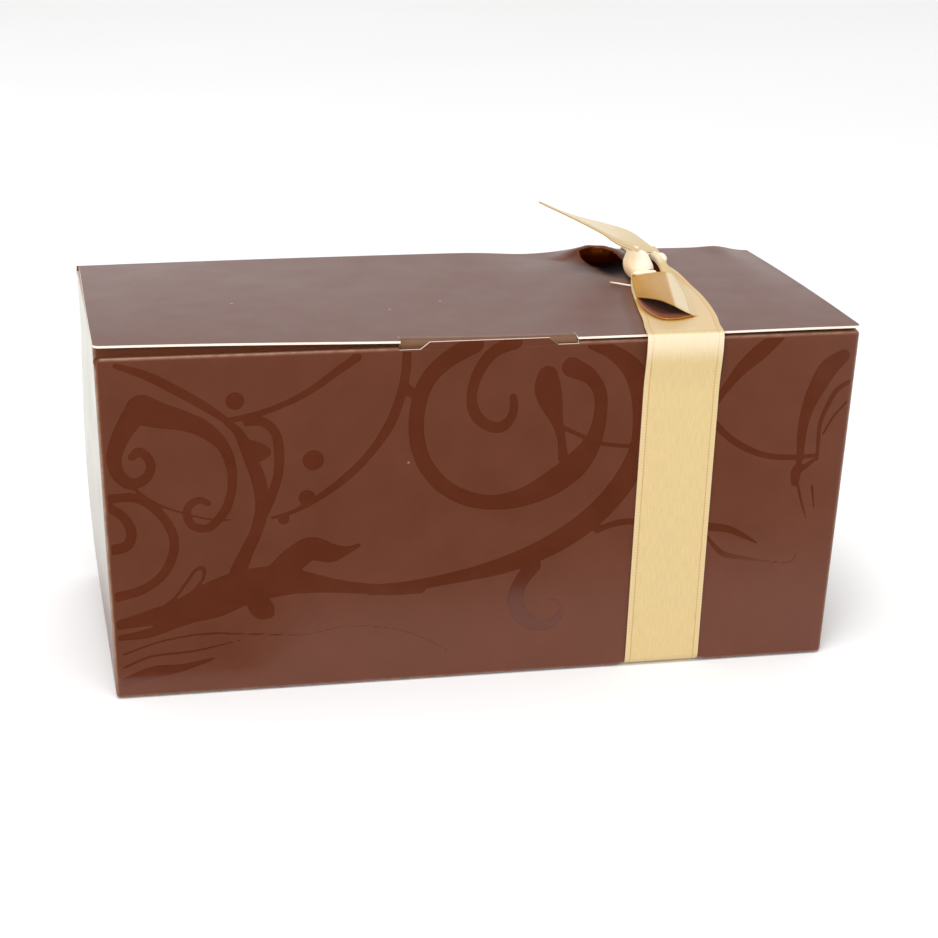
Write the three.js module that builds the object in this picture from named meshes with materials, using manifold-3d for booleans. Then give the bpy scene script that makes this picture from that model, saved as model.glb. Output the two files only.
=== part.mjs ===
// A shut folding-carton gift box for chocolates, tied with a satin ribbon.
//
// Millimetres, +Z up. The origin is in the middle of the base, on the surface the box stands on.
// The front wall faces -Y, the lid is hinged along the back wall (+Y) and its tongue is tucked in
// behind the front wall. The box is shut and can't be seen into, so its body is solid.

import * as THREE from 'three';
import { mergeVertices } from 'three/addons/utils/BufferGeometryUtils.js';
import Module from 'manifold-3d';

// Carton: its walls lean outwards, so the top is larger than the base.
const TOP_LENGTH = 150;
const TOP_DEPTH = 72;
const BASE_LENGTH = 145.2;
const BASE_DEPTH = 67.2;
const HEIGHT = 69.9;
const BOARD = 0.45;
const FOLD_RADIUS = 0.8;
const END_BULGE = 1.7;

// Air between two pieces that touch, and a height above the whole carton, for cuts.
const GAP = 0.3;
const ABOVE_ALL = 75;

// Lid: a sheet of the same board, bent over the back wall, arched, and sprung up at the front left.
const LID_BACK_Z = 70.0;
const LID_FRONT_Z = 70.55;
const LID_CROWN = 0.45;
const SPRUNG_CORNER = 1.6;
const SPRUNG_FROM_X = 15;
const SPRUNG_TO_X = -80;
const HINGE_RADIUS = 0.8;
const CREASE_Z = 68.2;
const LID_CORNER_RADIUS = 1.3;
const DROOPED_CORNER = 0.7;
const DROOPED_FROM_X = 68;
const RAISED_RIGHT = 0.2;

// Buckle: the lid is pinched up into a curved ridge beside the knot, with a hollow in front of it.
const RIDGE_HEIGHT = 1.5;
const RIDGE_BACK_WIDTH = 4.2;
const RIDGE_FRONT_WIDTH = 2.0;
const RIDGE_CENTRE = [33.5, 24.5];
const RIDGE_RADIUS = 10.2;
const RIDGE_FROM_ANGLE = 100;
const RIDGE_TO_ANGLE = -25;
const RIDGE_FADE_ANGLES = [40, 55];
const HOLLOW_DEPTH = 0.9;
const HOLLOW_CENTRE = [38, 20];
const HOLLOW_SIZE = [6, 9];
const DIP_DEPTH = 0.6;
const DIP_CENTRE = [23, 36];
const DIP_SIZE = [8, 14];
const BUCKLE_ROOM = 1.6;
const BUCKLE_ROOM_CENTRE = [32, 24];
const BUCKLE_ROOM_SIZE = [18, 20];

// Tongue of the lid, and the cut lip of the front wall that it is tucked in behind.
const TONGUE_WIDTH = 34.6;
const TONGUE_LEVEL = 1.5;
const TONGUE_BEND_RADIUS = 1.0;
const TONGUE_THICKNESS = BOARD * 0.94;
const TONGUE_END_Z = 68.4;
const SLOT_BOTTOM_Z = 68.0;
const CUT_EDGE_Z = 69.4;
const LIP_TOP_Z = 70.8;
const LIP_TOP_WIDTH = 23.4;
const LIP_FOOT_WIDTH = 27.0;

// Mitred top corner of the front wall, at the left end.
const MITRE_SIDE_X = -73.2;
const MITRE_TOP_Z = 70.4;
const MITRE_FOOT_Z = 68.8;
const MITRE_DEPTH = 1.5;

// Ribbon: one satin ribbon round the box, tied in a single knot on the lid.
const RIBBON_WIDTH = 15.4;
const RIBBON_THICKNESS = 0.4;
const RIBBON_OFF = GAP + RIBBON_THICKNESS / 2;
const RIBBON_X_FRONT_TOP = 39.1;
const RIBBON_X_FRONT_FOOT = 38.2;
const RIBBON_X_BACK_TOP = 49.4;
const RIBBON_X_BACK_FOOT = 46.0;
const RIBBON_STAND_OFF = 0.8;
const RIBBON_BENDS_AT_Y = -35.2;
const RIBBON_BEND_END_Z = 68.2;
const RIBBON_MEETS_WALL_Z = 59;
const RIBBON_FOOT_BEND = 1.8;
const RIBBON_LEAVES_BACK_Z = 66;
const RIBBON_ON_LID_BACK_Y = 34.4;
const RIBBON_CLEARS_LID_Z = 69.3;
const RIBBON_WIDTH_BACK = 7.6;
const RIBBON_WIDTH_AT_KNOT = 7.4;
const RAISED_EDGES = 1.2;
const TAIL_THICKNESS = 0.3;
const GROOVE_THICKNESS = RIBBON_THICKNESS + 2 * GAP - 0.02;
const THREAD_RADIUS = 0.2;

// Knot, with the two tails that leave it.
const KNOT = new THREE.Vector3(44.4, 12.5, 73.0);

const smooth = (from, to, value) => THREE.MathUtils.smoothstep((value - from) / (to - from), 0, 1);
const mix = THREE.MathUtils.lerp;
const radians = THREE.MathUtils.degToRad;

// ---------------------------------------------------------------- solids from three.js geometry

const wasm = await Module();
wasm.setup();

function toSolid(geometry) {
  const bare = geometry.clone();
  bare.deleteAttribute('normal');
  bare.deleteAttribute('uv');
  const merged = mergeVertices(bare, 1e-4);
  const mesh = new wasm.Mesh({
    numProp: 3,
    vertProperties: new Float32Array(merged.attributes.position.array),
    triVerts: new Uint32Array(merged.index.array),
  });
  return new wasm.Manifold(mesh);
}

function toGeometry(solid) {
  const mesh = solid.getMesh();
  const geometry = new THREE.BufferGeometry();
  geometry.setAttribute('position', new THREE.BufferAttribute(new Float32Array(mesh.vertProperties), 3));
  geometry.setIndex(new THREE.BufferAttribute(new Uint32Array(mesh.triVerts), 1));
  geometry.computeVertexNormals();
  return geometry;
}

// A box whose grid points are moved: place(i, j, k) gives the new point of grid point i, j, k.
function gridBox(iCount, jCount, kCount, place) {
  const geometry = new THREE.BoxGeometry(1, 1, 1, iCount, jCount, kCount);
  const position = geometry.attributes.position;
  for (let n = 0; n < position.count; n += 1) {
    const i = Math.round((position.getX(n) + 0.5) * iCount);
    const j = Math.round((position.getY(n) + 0.5) * jCount);
    const k = Math.round((position.getZ(n) + 0.5) * kCount);
    const point = place(i, j, k);
    position.setXYZ(n, point.x, point.y, point.z);
  }
  return geometry;
}

// A sheet of even thickness along the surface point(u, v), at the stations us and vs. Its middle can
// be moved off that surface along the normal.
function sheet(us, vs, point, thickness, offset = 0) {
  const step = 1e-3;
  const within = (value, stations) => THREE.MathUtils.clamp(value, stations[0], stations.at(-1));
  const place = (i, j, k) => {
    const alongU = point(within(us[i] + step, us), vs[j]).sub(point(within(us[i] - step, us), vs[j]));
    const alongV = point(us[i], within(vs[j] + step, vs)).sub(point(us[i], within(vs[j] - step, vs)));
    const normal = alongU.cross(alongV).normalize();
    return point(us[i], vs[j]).addScaledVector(normal, (k - 0.5) * thickness + offset);
  };
  return gridBox(us.length - 1, vs.length - 1, 1, place);
}

// A closed roll along a curve: radii(t) gives the half width and half height of its section.
function roll(curve, up, radii, around = 9, along = 9) {
  const geometry = new THREE.SphereGeometry(1, around, along);
  const position = geometry.attributes.position;
  const uv = geometry.attributes.uv;
  for (let n = 0; n < position.count; n += 1) {
    const t = 1 - uv.getY(n);
    const angle = 2 * Math.PI * uv.getX(n);
    const close = Math.sqrt(Math.max(0, 1 - (2 * t - 1) ** 4));
    const tangent = curve.getTangent(t);
    const side = new THREE.Vector3().crossVectors(tangent, up).normalize();
    const top = new THREE.Vector3().crossVectors(side, tangent).normalize();
    const [width, height] = radii(t);
    const point = curve.getPoint(t);
    point.addScaledVector(side, Math.cos(angle) * width * close);
    point.addScaledVector(top, Math.sin(angle) * height * close);
    position.setXYZ(n, point.x, point.y, point.z);
  }
  return geometry;
}

function spread(from, to, count) {
  return Array.from({ length: count + 1 }, (_, n) => mix(from, to, n / count));
}

// Stations from -half to half, with a round fold at both ends.
function foldedStations(half, count) {
  const fold = [0, FOLD_RADIUS * (1 - Math.tan(radians(22.5)))];
  const inner = spread(-half + FOLD_RADIUS, half - FOLD_RADIUS, count);
  return [...fold.map((d) => d - half), ...inner, ...fold.map((d) => half - d).reverse()];
}

function block(x0, x1, y0, y1, z0, z1) {
  const geometry = new THREE.BoxGeometry(x1 - x0, y1 - y0, z1 - z0);
  return geometry.translate((x0 + x1) / 2, (y0 + y1) / 2, (z0 + z1) / 2);
}

// A prism with its outline in the X-Z plane, between two places along Y.
function uprightPrism(outline, y0, y1) {
  const shape = new THREE.Shape(outline.map(([x, z]) => new THREE.Vector2(x, z)));
  const geometry = new THREE.ExtrudeGeometry(shape, { depth: y1 - y0, bevelEnabled: false });
  return geometry.rotateX(Math.PI / 2).translate(0, y1, 0);
}

// ---------------------------------------------------------------- lid surface

// How far the buckle lifts or sinks the lid. The ridge is an arc round RIDGE_CENTRE.
function buckle(x, y) {
  const dx = x - RIDGE_CENTRE[0];
  const dy = y - RIDGE_CENTRE[1];
  const out = Math.hypot(dx, dy) - RIDGE_RADIUS;
  const angle = THREE.MathUtils.radToDeg(Math.atan2(dy, dx));
  const width = out > 0 ? RIDGE_BACK_WIDTH : RIDGE_FRONT_WIDTH;
  const ends = smooth(RIDGE_TO_ANGLE, RIDGE_TO_ANGLE + RIDGE_FADE_ANGLES[1], angle)
    * smooth(RIDGE_FROM_ANGLE, RIDGE_FROM_ANGLE - RIDGE_FADE_ANGLES[0], angle);
  const ridge = RIDGE_HEIGHT * ends * Math.exp(-((out / width) ** 2));
  return ridge - HOLLOW_DEPTH * mound(x, y, HOLLOW_CENTRE, HOLLOW_SIZE)
    - DIP_DEPTH * mound(x, y, DIP_CENTRE, DIP_SIZE);
}

function mound(x, y, centre, size) {
  const across = (x - centre[0]) / size[0];
  const along = (y - centre[1]) / size[1];
  return Math.exp(-(across * across + along * along));
}

const HINGE_Y = TOP_DEPTH / 2 - BOARD / 2 - HINGE_RADIUS;
const LID_FRONT_Y = -TOP_DEPTH / 2;

// Height of the middle of the lid's board, first without the buckle.
function smoothLidHeight(x, y) {
  const toFront = THREE.MathUtils.clamp((HINGE_Y - y) / (HINGE_Y - LID_FRONT_Y), 0, 1);
  const arch = 1 - (1 - toFront) ** 2;
  const back = LID_BACK_Z + LID_CROWN * (1 - (2 * x / TOP_LENGTH) ** 2)
    - DROOPED_CORNER * smooth(DROOPED_FROM_X, TOP_LENGTH / 2, x);
  const front = LID_FRONT_Z + SPRUNG_CORNER * smooth(SPRUNG_FROM_X, SPRUNG_TO_X, x)
    + RAISED_RIGHT * smooth(30, DROOPED_FROM_X, x);
  return mix(back, front, arch);
}

function lidHeight(x, y) {
  return smoothLidHeight(x, y) + buckle(x, y);
}

const HINGE_ARC = HINGE_RADIUS * Math.PI / 2;
const LID_START = -HINGE_ARC - (LID_BACK_Z - HINGE_RADIUS - CREASE_Z);

// A point of the lid. Travel 0 is where the bend of the hinge ends, and goes on to the front edge;
// less than 0 is in the bend, and then down the back wall to the crease.
function lidPoint(x, travel) {
  if (travel >= 0) {
    const y = HINGE_Y - travel;
    const corner = roundedCorner(x, y);
    return new THREE.Vector3(corner.x, corner.y, lidHeight(x, y));
  }
  const turned = Math.min(-travel, HINGE_ARC) / HINGE_RADIUS;
  const down = Math.max(0, -travel - HINGE_ARC);
  const top = lidHeight(x, HINGE_Y);
  const z = top - HINGE_RADIUS * (1 - Math.cos(turned));
  const room = (top - HINGE_RADIUS - CREASE_Z) / (-LID_START - HINGE_ARC);
  return new THREE.Vector3(x, HINGE_Y + HINGE_RADIUS * Math.sin(turned), z - down * room);
}

function roundedCorner(x, y) {
  const cx = TOP_LENGTH / 2 - LID_CORNER_RADIUS;
  const cy = LID_FRONT_Y + LID_CORNER_RADIUS;
  const qx = Math.max(0, Math.abs(x) - cx);
  const qy = Math.max(0, cy - y);
  const most = Math.max(qx, qy);
  if (qx === 0 || qy === 0) {
    return { x, y };
  }
  const pull = most / Math.hypot(qx, qy);
  return { x: Math.sign(x) * (cx + qx * pull), y: cy - qy * pull };
}

function lidTop(x, y) {
  return lidHeight(x, y) + BOARD / 2;
}

function lidStationsX() {
  const half = TOP_LENGTH / 2;
  return [
    -half, -half + 0.5, -half + LID_CORNER_RADIUS,
    ...spread(-70, 24, 13),
    ...spread(27, 48, 11),
    ...spread(52, 70, 3),
    half - LID_CORNER_RADIUS, half - 0.5, half,
  ];
}

function lidStationsTravel() {
  const full = HINGE_Y - LID_FRONT_Y;
  return [
    LID_START, ...spread(-HINGE_ARC, 0, 4),
    ...spread(1.6, 24, 10), ...spread(29, full - LID_CORNER_RADIUS, 6), full - 0.5, full,
  ];
}

// Where the bend of the tongue starts, so that the tongue hangs behind the front wall.
const TONGUE_BEND_Y = LID_FRONT_Y + BOARD + GAP + BOARD / 2 + TONGUE_BEND_RADIUS;
const TONGUE_ARC = TONGUE_BEND_RADIUS * Math.PI / 2;

// The tongue leaves the lid level, bends down and ends in the slot behind the front wall. The last
// millimetre of travel takes it down to its end.
function tonguePoint(x, travel) {
  if (travel < TONGUE_LEVEL) {
    const y = TONGUE_BEND_Y + TONGUE_LEVEL - travel;
    return new THREE.Vector3(x, y, lidHeight(x, y));
  }
  const turned = Math.min(travel - TONGUE_LEVEL, TONGUE_ARC) / TONGUE_BEND_RADIUS;
  const down = Math.max(0, travel - TONGUE_LEVEL - TONGUE_ARC);
  const top = lidHeight(x, TONGUE_BEND_Y);
  const foot = (top - TONGUE_BEND_RADIUS - TONGUE_END_Z) * down;
  const y = TONGUE_BEND_Y - TONGUE_BEND_RADIUS * Math.sin(turned);
  return new THREE.Vector3(x, y, top - TONGUE_BEND_RADIUS * (1 - Math.cos(turned)) - foot);
}

function buildLid() {
  const plate = toSolid(sheet(lidStationsX(), lidStationsTravel(), lidPoint, BOARD));
  const half = TONGUE_WIDTH / 2;
  const opening = toSolid(block(-half - 0.1, half + 0.1, LID_FRONT_Y - 2, TONGUE_BEND_Y + 0.2,
    SLOT_BOTTOM_Z, ABOVE_ALL));
  const travel = [0, TONGUE_LEVEL / 2, ...spread(TONGUE_LEVEL, TONGUE_LEVEL + TONGUE_ARC, 5),
    TONGUE_LEVEL + TONGUE_ARC + 1];
  const tongue = toSolid(sheet(spread(-half, half, 8), travel, tonguePoint, TONGUE_THICKNESS));
  return toGeometry(plate.subtract(opening).add(tongue));
}

// ---------------------------------------------------------------- carton body

// Under the lid the body follows the lid, with some room under the buckle. Along the front it comes
// down to the fold of the wall.
const BEHIND_FOLD = 3.2;

function bodyTop(x, y) {
  const room = BOARD / 2 + GAP + BUCKLE_ROOM * mound(x, y, BUCKLE_ROOM_CENTRE, BUCKLE_ROOM_SIZE);
  const underLid = smoothLidHeight(x, Math.min(y, HINGE_Y)) - room;
  const behindFold = smooth(-TOP_DEPTH / 2 + FOLD_RADIUS, -TOP_DEPTH / 2 + BEHIND_FOLD, y);
  return mix(HEIGHT, underLid, behindFold);
}

function roundFolds(x, y, z) {
  const inner = [TOP_LENGTH / 2, TOP_DEPTH / 2, HEIGHT / 2].map((half) => half - FOLD_RADIUS);
  const point = new THREE.Vector3(x, y, z - HEIGHT / 2);
  const core = new THREE.Vector3(
    THREE.MathUtils.clamp(point.x, -inner[0], inner[0]),
    THREE.MathUtils.clamp(point.y, -inner[1], inner[1]),
    THREE.MathUtils.clamp(point.z, -inner[2], inner[2]),
  );
  const out = point.clone().sub(core).normalize().multiplyScalar(FOLD_RADIUS);
  const round = core.add(out);
  round.z += HEIGHT / 2;
  return round;
}

function leanAndBulge(point) {
  const up = point.z / HEIGHT;
  const upright = Math.sin(Math.PI * THREE.MathUtils.clamp(up, 0, 1));
  const bow = END_BULGE * Math.cos(Math.PI * point.y / TOP_DEPTH) * upright;
  const atEnd = Math.sign(point.x) * (2 * Math.abs(point.x) / TOP_LENGTH) ** 8;
  const x = point.x * mix(BASE_LENGTH, TOP_LENGTH, up) / TOP_LENGTH + bow * atEnd;
  const y = point.y * mix(BASE_DEPTH, TOP_DEPTH, up) / TOP_DEPTH;
  return new THREE.Vector3(x, y, point.z);
}

// How far down the walls take part when the top of the body is lifted to the lid.
const LIFTED_DEPTH = 8;

function buildCarton() {
  const xs = foldedStations(TOP_LENGTH / 2, 22);
  const ys = foldedStations(TOP_DEPTH / 2, 12);
  const zs = foldedStations(HEIGHT / 2, 9).map((z) => z + HEIGHT / 2);
  ys.splice(3, 0, -TOP_DEPTH / 2 + 2, -TOP_DEPTH / 2 + BEHIND_FOLD);
  const place = (i, j, k) => {
    const point = leanAndBulge(roundFolds(xs[i], ys[j], zs[k]));
    const lift = smooth(HEIGHT - LIFTED_DEPTH, HEIGHT, zs[k]);
    point.z += lift * (bodyTop(xs[i], ys[j]) - HEIGHT);
    return point;
  };
  const body = toSolid(gridBox(xs.length - 1, ys.length - 1, zs.length - 1, place));

  const wallInside = LID_FRONT_Y + BOARD;
  const half = TONGUE_WIDTH / 2 + GAP;
  const cuts = [
    block(-half, half, LID_FRONT_Y - 1, LID_FRONT_Y + 3.0, CUT_EDGE_Z, ABOVE_ALL),
    block(-half, half, wallInside, wallInside + BOARD + 2 * GAP, SLOT_BOTTOM_Z, ABOVE_ALL),
    mitreCut(),
    toHinge(),
  ];
  const lip = uprightPrism([
    [-LIP_FOOT_WIDTH / 2, CUT_EDGE_Z - 0.5], [LIP_FOOT_WIDTH / 2, CUT_EDGE_Z - 0.5],
    [LIP_FOOT_WIDTH / 2, CUT_EDGE_Z], [LIP_TOP_WIDTH / 2, LIP_TOP_Z],
    [-LIP_TOP_WIDTH / 2, LIP_TOP_Z], [-LIP_FOOT_WIDTH / 2, CUT_EDGE_Z],
  ], LID_FRONT_Y + 0.04, wallInside - 0.02);

  const cut = cuts.reduce((solid, geometry) => solid.subtract(toSolid(geometry)), body);
  return cut.add(toSolid(lip)).subtract(toSolid(ribbonLoop(GROOVE_THICKNESS, GAP)));
}

function mitreCut() {
  const outside = -TOP_LENGTH / 2 - 2;
  return uprightPrism([
    [outside, MITRE_FOOT_Z - 0.6], [MITRE_SIDE_X - 1.4, MITRE_FOOT_Z],
    [MITRE_SIDE_X, MITRE_TOP_Z], [MITRE_SIDE_X, ABOVE_ALL], [outside, ABOVE_ALL],
  ], LID_FRONT_Y - 1, LID_FRONT_Y + MITRE_DEPTH);
}

// The room that the bend of the lid takes out of the top edge of the back wall: the lid's own bend,
// with the air gap inside it, and all that lies outside it.
function toHinge() {
  const us = [-TOP_LENGTH / 2 - 3, ...spread(-72, 72, 24), TOP_LENGTH / 2 + 3];
  const vs = [LID_START - GAP, ...spread(-HINGE_ARC, 0, 4), 1];
  const inside = BOARD / 2 + GAP;
  const outside = 1.4;
  return sheet(us, vs, lidPoint, inside + outside, (inside - outside) / 2);
}

// ---------------------------------------------------------------- ribbon

function lean(z) {
  return mix(BASE_DEPTH, TOP_DEPTH, z / HEIGHT) / 2;
}

// The loop in the Y-Z plane: from the knot over the lid, down the front, under the base, up the back
// and over the hinge to the knot again. Straight runs and stiff bends.
function loopCurves() {
  const v = (y, z) => new THREE.Vector3(0, y, z);
  const front = (z, out = 0) => v(-lean(z) - RIBBON_OFF - out, z);
  const back = (z) => v(lean(z) + RIBBON_OFF, z);
  const line = (steps, ...ends) => ({ curve: new THREE.LineCurve3(...ends), steps });
  const bend = (steps, ...points) => ({ curve: new THREE.CubicBezierCurve3(...points), steps });

  const frontTop = lidTop(RIBBON_X_FRONT_TOP, RIBBON_BENDS_AT_Y) + RIBBON_OFF;
  const backTop = lidTop(RIBBON_X_BACK_TOP, RIBBON_ON_LID_BACK_Y) + RIBBON_OFF;
  const bendStart = v(RIBBON_BENDS_AT_Y, frontTop);
  const bendEnd = front(RIBBON_BEND_END_Z, RIBBON_STAND_OFF);
  const behindLid = v(TOP_DEPTH / 2 + RIBBON_OFF + 0.05, RIBBON_CLEARS_LID_Z);
  const footZ = RIBBON_THICKNESS / 2;
  const footY = lean(0) + RIBBON_OFF - RIBBON_FOOT_BEND;
  const half = RIBBON_FOOT_BEND / 2;
  return [
    { ...line(14, v(KNOT.y, frontTop), bendStart), onLid: () => 1 },
    {
      ...bend(7, bendStart, v(-TOP_DEPTH / 2 - 1.2, frontTop), v(bendEnd.y, frontTop - 0.6), bendEnd),
      onLid: (t) => (1 - t) ** 2,
    },
    bend(5, bendEnd, v(bendEnd.y, 65), front(63), front(RIBBON_MEETS_WALL_Z)),
    line(7, front(RIBBON_MEETS_WALL_Z), front(RIBBON_FOOT_BEND)),
    bend(4, front(RIBBON_FOOT_BEND), v(-footY - RIBBON_FOOT_BEND, half),
      v(-footY - half, footZ), v(-footY, footZ)),
    line(6, v(-footY, footZ), v(footY, footZ)),
    bend(4, v(footY, footZ), v(footY + half, footZ),
      v(footY + RIBBON_FOOT_BEND, half), back(RIBBON_FOOT_BEND)),
    line(8, back(RIBBON_FOOT_BEND), back(RIBBON_LEAVES_BACK_Z)),
    bend(3, back(RIBBON_LEAVES_BACK_Z), back(67), v(behindLid.y, 68), behindLid),
    {
      ...bend(5, behindLid, v(behindLid.y, backTop - 0.2), v(35.7, backTop),
        v(RIBBON_ON_LID_BACK_Y, backTop)),
      onLid: (t) => t,
    },
    { ...line(6, v(RIBBON_ON_LID_BACK_Y, backTop), v(KNOT.y, backTop)), onLid: () => 1 },
  ];
}

// The runs of the loop, as loopCurves lists them: the lid at the front, the front wall to run 4, the
// base, the back wall to run 9, and the lid at the back.
const LID_FRONT_RUN = 0;
const BASE_RUN = 5;
const LID_BACK_RUN = 10;

// Middle line of the loop in X. On the lid it runs at a slant to the knot.
function loopMiddle(run, y, z) {
  if (run === LID_FRONT_RUN) {
    return mix(RIBBON_X_FRONT_TOP, KNOT.x + 0.6, smooth(-40, KNOT.y + 2, y));
  }
  if (run < BASE_RUN) {
    return mix(RIBBON_X_FRONT_FOOT, RIBBON_X_FRONT_TOP, z / HEIGHT);
  }
  if (run === BASE_RUN) {
    return mix(RIBBON_X_FRONT_FOOT, RIBBON_X_BACK_FOOT, (y + BASE_DEPTH / 2) / BASE_DEPTH);
  }
  if (run < LID_BACK_RUN) {
    return mix(RIBBON_X_BACK_FOOT, RIBBON_X_BACK_TOP, z / HEIGHT);
  }
  return mix(KNOT.x + 0.6, RIBBON_X_BACK_TOP, smooth(KNOT.y, RIBBON_ON_LID_BACK_Y, y));
}

// The ribbon is drawn together near the knot.
function loopWidth(run, y, z) {
  if (run === LID_FRONT_RUN) {
    return mix(RIBBON_WIDTH, RIBBON_WIDTH_AT_KNOT, smooth(-14, KNOT.y + 2, y));
  }
  if (run <= BASE_RUN + 1) {
    return RIBBON_WIDTH;
  }
  if (run < LID_BACK_RUN) {
    return mix(RIBBON_WIDTH, RIBBON_WIDTH_BACK, smooth(42, HEIGHT, z));
  }
  return mix(RIBBON_WIDTH_BACK, RIBBON_WIDTH_AT_KNOT, smooth(RIBBON_ON_LID_BACK_Y, KNOT.y, y));
}

// Near the knot the edges of the ribbon curl up off the lid.
function edgeLift(run, u, y) {
  if (run > LID_FRONT_RUN && run < LID_BACK_RUN) {
    return 0;
  }
  const from = run === LID_FRONT_RUN ? -4 : 21;
  return RAISED_EDGES * smooth(from, KNOT.y, y) * u * u;
}

// The loop with another thickness, and wider by sideRoom at both edges, is also the room it needs.
function ribbonLoop(thickness, sideRoom = 0) {
  const runs = loopCurves();
  const vs = [0];
  runs.forEach((run, n) => vs.push(...spread(n, n + 1, run.steps).slice(1)));
  const point = (u, v) => {
    const n = Math.min(runs.length - 1, Math.floor(v));
    const t = v - n;
    const { y, z } = runs[n].curve.getPoint(t);
    const middle = loopMiddle(n, y, z);
    const x = middle + u * (loopWidth(n, y, z) / 2 + sideRoom);
    const share = runs[n].onLid ? runs[n].onLid(t) : 0;
    const lidY = THREE.MathUtils.clamp(y, RIBBON_BENDS_AT_Y, RIBBON_ON_LID_BACK_Y);
    const flat = share === 1 ? lidTop(middle, y) + RIBBON_OFF : z;
    const follow = share * (lidTop(x, lidY) - lidTop(middle, lidY));
    return new THREE.Vector3(x, y, flat + follow + edgeLift(n, u, y));
  };
  return sheet(spread(-1, 1, 6), vs, point, thickness);
}

const at = (x, y, z) => new THREE.Vector3(x, y, z);
const UP = at(0, 0, 1);
const smoothCurve = (...points) => new THREE.CatmullRomCurve3(points);

// Offsets from the middle of the knot.
const fromKnot = (x, y, z) => at(x, y, z).add(KNOT);

// The knot: the turns of the ribbon round itself, each a soft roll, with a dark slot between the
// middle turn and the right one.
function knotRolls() {
  const core = smoothCurve(fromKnot(-1.0, -6.0, -1.1), fromKnot(-0.4, 0, -0.8), fromKnot(0.4, 6, -0.9));
  const left = smoothCurve(fromKnot(-5.0, -7.4, -0.9), fromKnot(-4.6, -4, 0.4), fromKnot(-3.9, 0, 1.4),
    fromKnot(-2.4, 4.5, 1.2));
  const middle = smoothCurve(fromKnot(-2.2, -7.2, -0.3), fromKnot(-2.0, -5.6, 1.1),
    fromKnot(-1.6, -2.5, 2.0), fromKnot(-0.8, 2.5, 2.2), fromKnot(0.2, 6.2, 0.6));
  const right = smoothCurve(fromKnot(3.1, -3.5, -0.4), fromKnot(3.8, -0.5, 0.8), fromKnot(3.7, 2.6, 1.0),
    fromKnot(2.4, 5.6, 0.2));
  const lip = smoothCurve(fromKnot(-4.8, -7.4, -0.9), fromKnot(-2.2, -7.9, -0.6),
    fromKnot(0.9, -7.6, -0.4));
  return [
    roll(core, UP, () => [3.9, 1.2]),
    roll(left, UP, () => [1.0, 1.3]),
    roll(middle, UP, () => [2.4, 0.9]),
    roll(right, UP, () => [0.9, 1.1]),
    roll(lip, UP, () => [0.8, 0.7], 8, 8),
  ];
}

// Front tail: it leaves the knot towards the front, is arched over the loop and cut at a slant, so that
// its cut end is the mouth of a small tunnel. Its crest runs to the right of its middle.
function frontTail() {
  const left = new THREE.LineCurve3(fromKnot(-4.6, -6.0, -1.1), at(35.3, -13, 71.7));
  const crest = smoothCurve(fromKnot(1.6, -6, -0.1), at(43.6, -10, 73.9), at(38.8, -28, 74.1));
  const right = smoothCurve(fromKnot(3.2, -5.5, -1.0), at(46.3, -12, 72.0), at(42.4, -31, 71.8));
  const crestAt = 0.4;
  const point = (u, t) => {
    const ridge = crest.getPoint(t);
    const onLeft = u <= crestAt;
    const edge = (onLeft ? left : right).getPoint(t);
    const toCrest = onLeft ? (u + 1) / (crestAt + 1) : (1 - u) / (1 - crestAt);
    const away = 1 - toCrest;
    const rise = onLeft ? Math.sin(toCrest * Math.PI / 2) : 1 - away * (0.4 + 0.6 * away);
    const arched = edge.clone().lerp(ridge, toCrest);
    arched.z = mix(edge.z, ridge.z, rise);
    return arched;
  };
  return sheet(spread(-1, 1, 10), spread(0, 1, 8), point, RIBBON_THICKNESS);
}

// Back tail: it stands up from the knot and runs to a long point, to the left.
function backTail() {
  const tip = at(21.2, 13, 86.0);
  const near = smoothCurve(fromKnot(-1.2, 0, 1.9), at(41.2, 13, 76.3), at(35.2, 13, 79.6),
    at(28.1, 13, 82.8), tip);
  const far = smoothCurve(fromKnot(4.0, 4.6, 0.6), at(46.4, 21, 75.9), at(43.6, 25.6, 77.2),
    at(39.6, 26.4, 78.1), at(32.8, 21, 80.8), at(27.0, 16, 83.3),
    tip.clone().add(at(0.2, 0.3, 0.05)));
  const point = (u, t) => near.getPoint(t).lerp(far.getPoint(t), (u + 1) / 2);
  return sheet(spread(-1, 1, 4), spread(0, 1, 16), point, TAIL_THICKNESS);
}

// A loose thread of the ribbon's edge, on the lid.
function looseThread() {
  const onLid = (x, y) => at(x, y, lidTop(x, y) + GAP + THREAD_RADIUS);
  const curve = smoothCurve(onLid(39.4, -0.6), onLid(37.2, 1.6), onLid(34.5, 4.4));
  const radius = (t) => THREAD_RADIUS * mix(0.8, 1.25, t);
  return roll(curve, UP, (t) => [radius(t), radius(t)], 6, 6);
}

function buildRibbon() {
  const pieces = [ribbonLoop(RIBBON_THICKNESS), ...knotRolls(), frontTail(), backTail(), looseThread()];
  const solids = pieces.map(toSolid);
  return solids.reduce((whole, solid) => whole.add(solid));
}

// ---------------------------------------------------------------- the object

function standard(color, roughness, metalness = 0) {
  return new THREE.MeshStandardMaterial({ color, roughness, metalness });
}

function piece(name, geometry, material) {
  const mesh = new THREE.Mesh(geometry, material);
  mesh.name = name;
  return mesh;
}

const box = new THREE.Group();
const brownBoard = standard(0x6e4030, 0.5);
box.add(piece('carton', toGeometry(buildCarton()), brownBoard));
box.add(piece('lid', buildLid(), standard(0x70453a, 0.45)));
box.add(piece('ribbon', toGeometry(buildRibbon()), standard(0xe6cf96, 0.35)));

export default box;
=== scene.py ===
"""Looks for a shut folding-carton gift box for chocolates, tied with a satin ribbon.

Lengths in the formulas are millimetres in the box's own frame: +X to the right along the front wall,
+Y to the back, +Z up, with the origin in the middle of the base. Meshes are made in metres.
"""

import math

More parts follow.
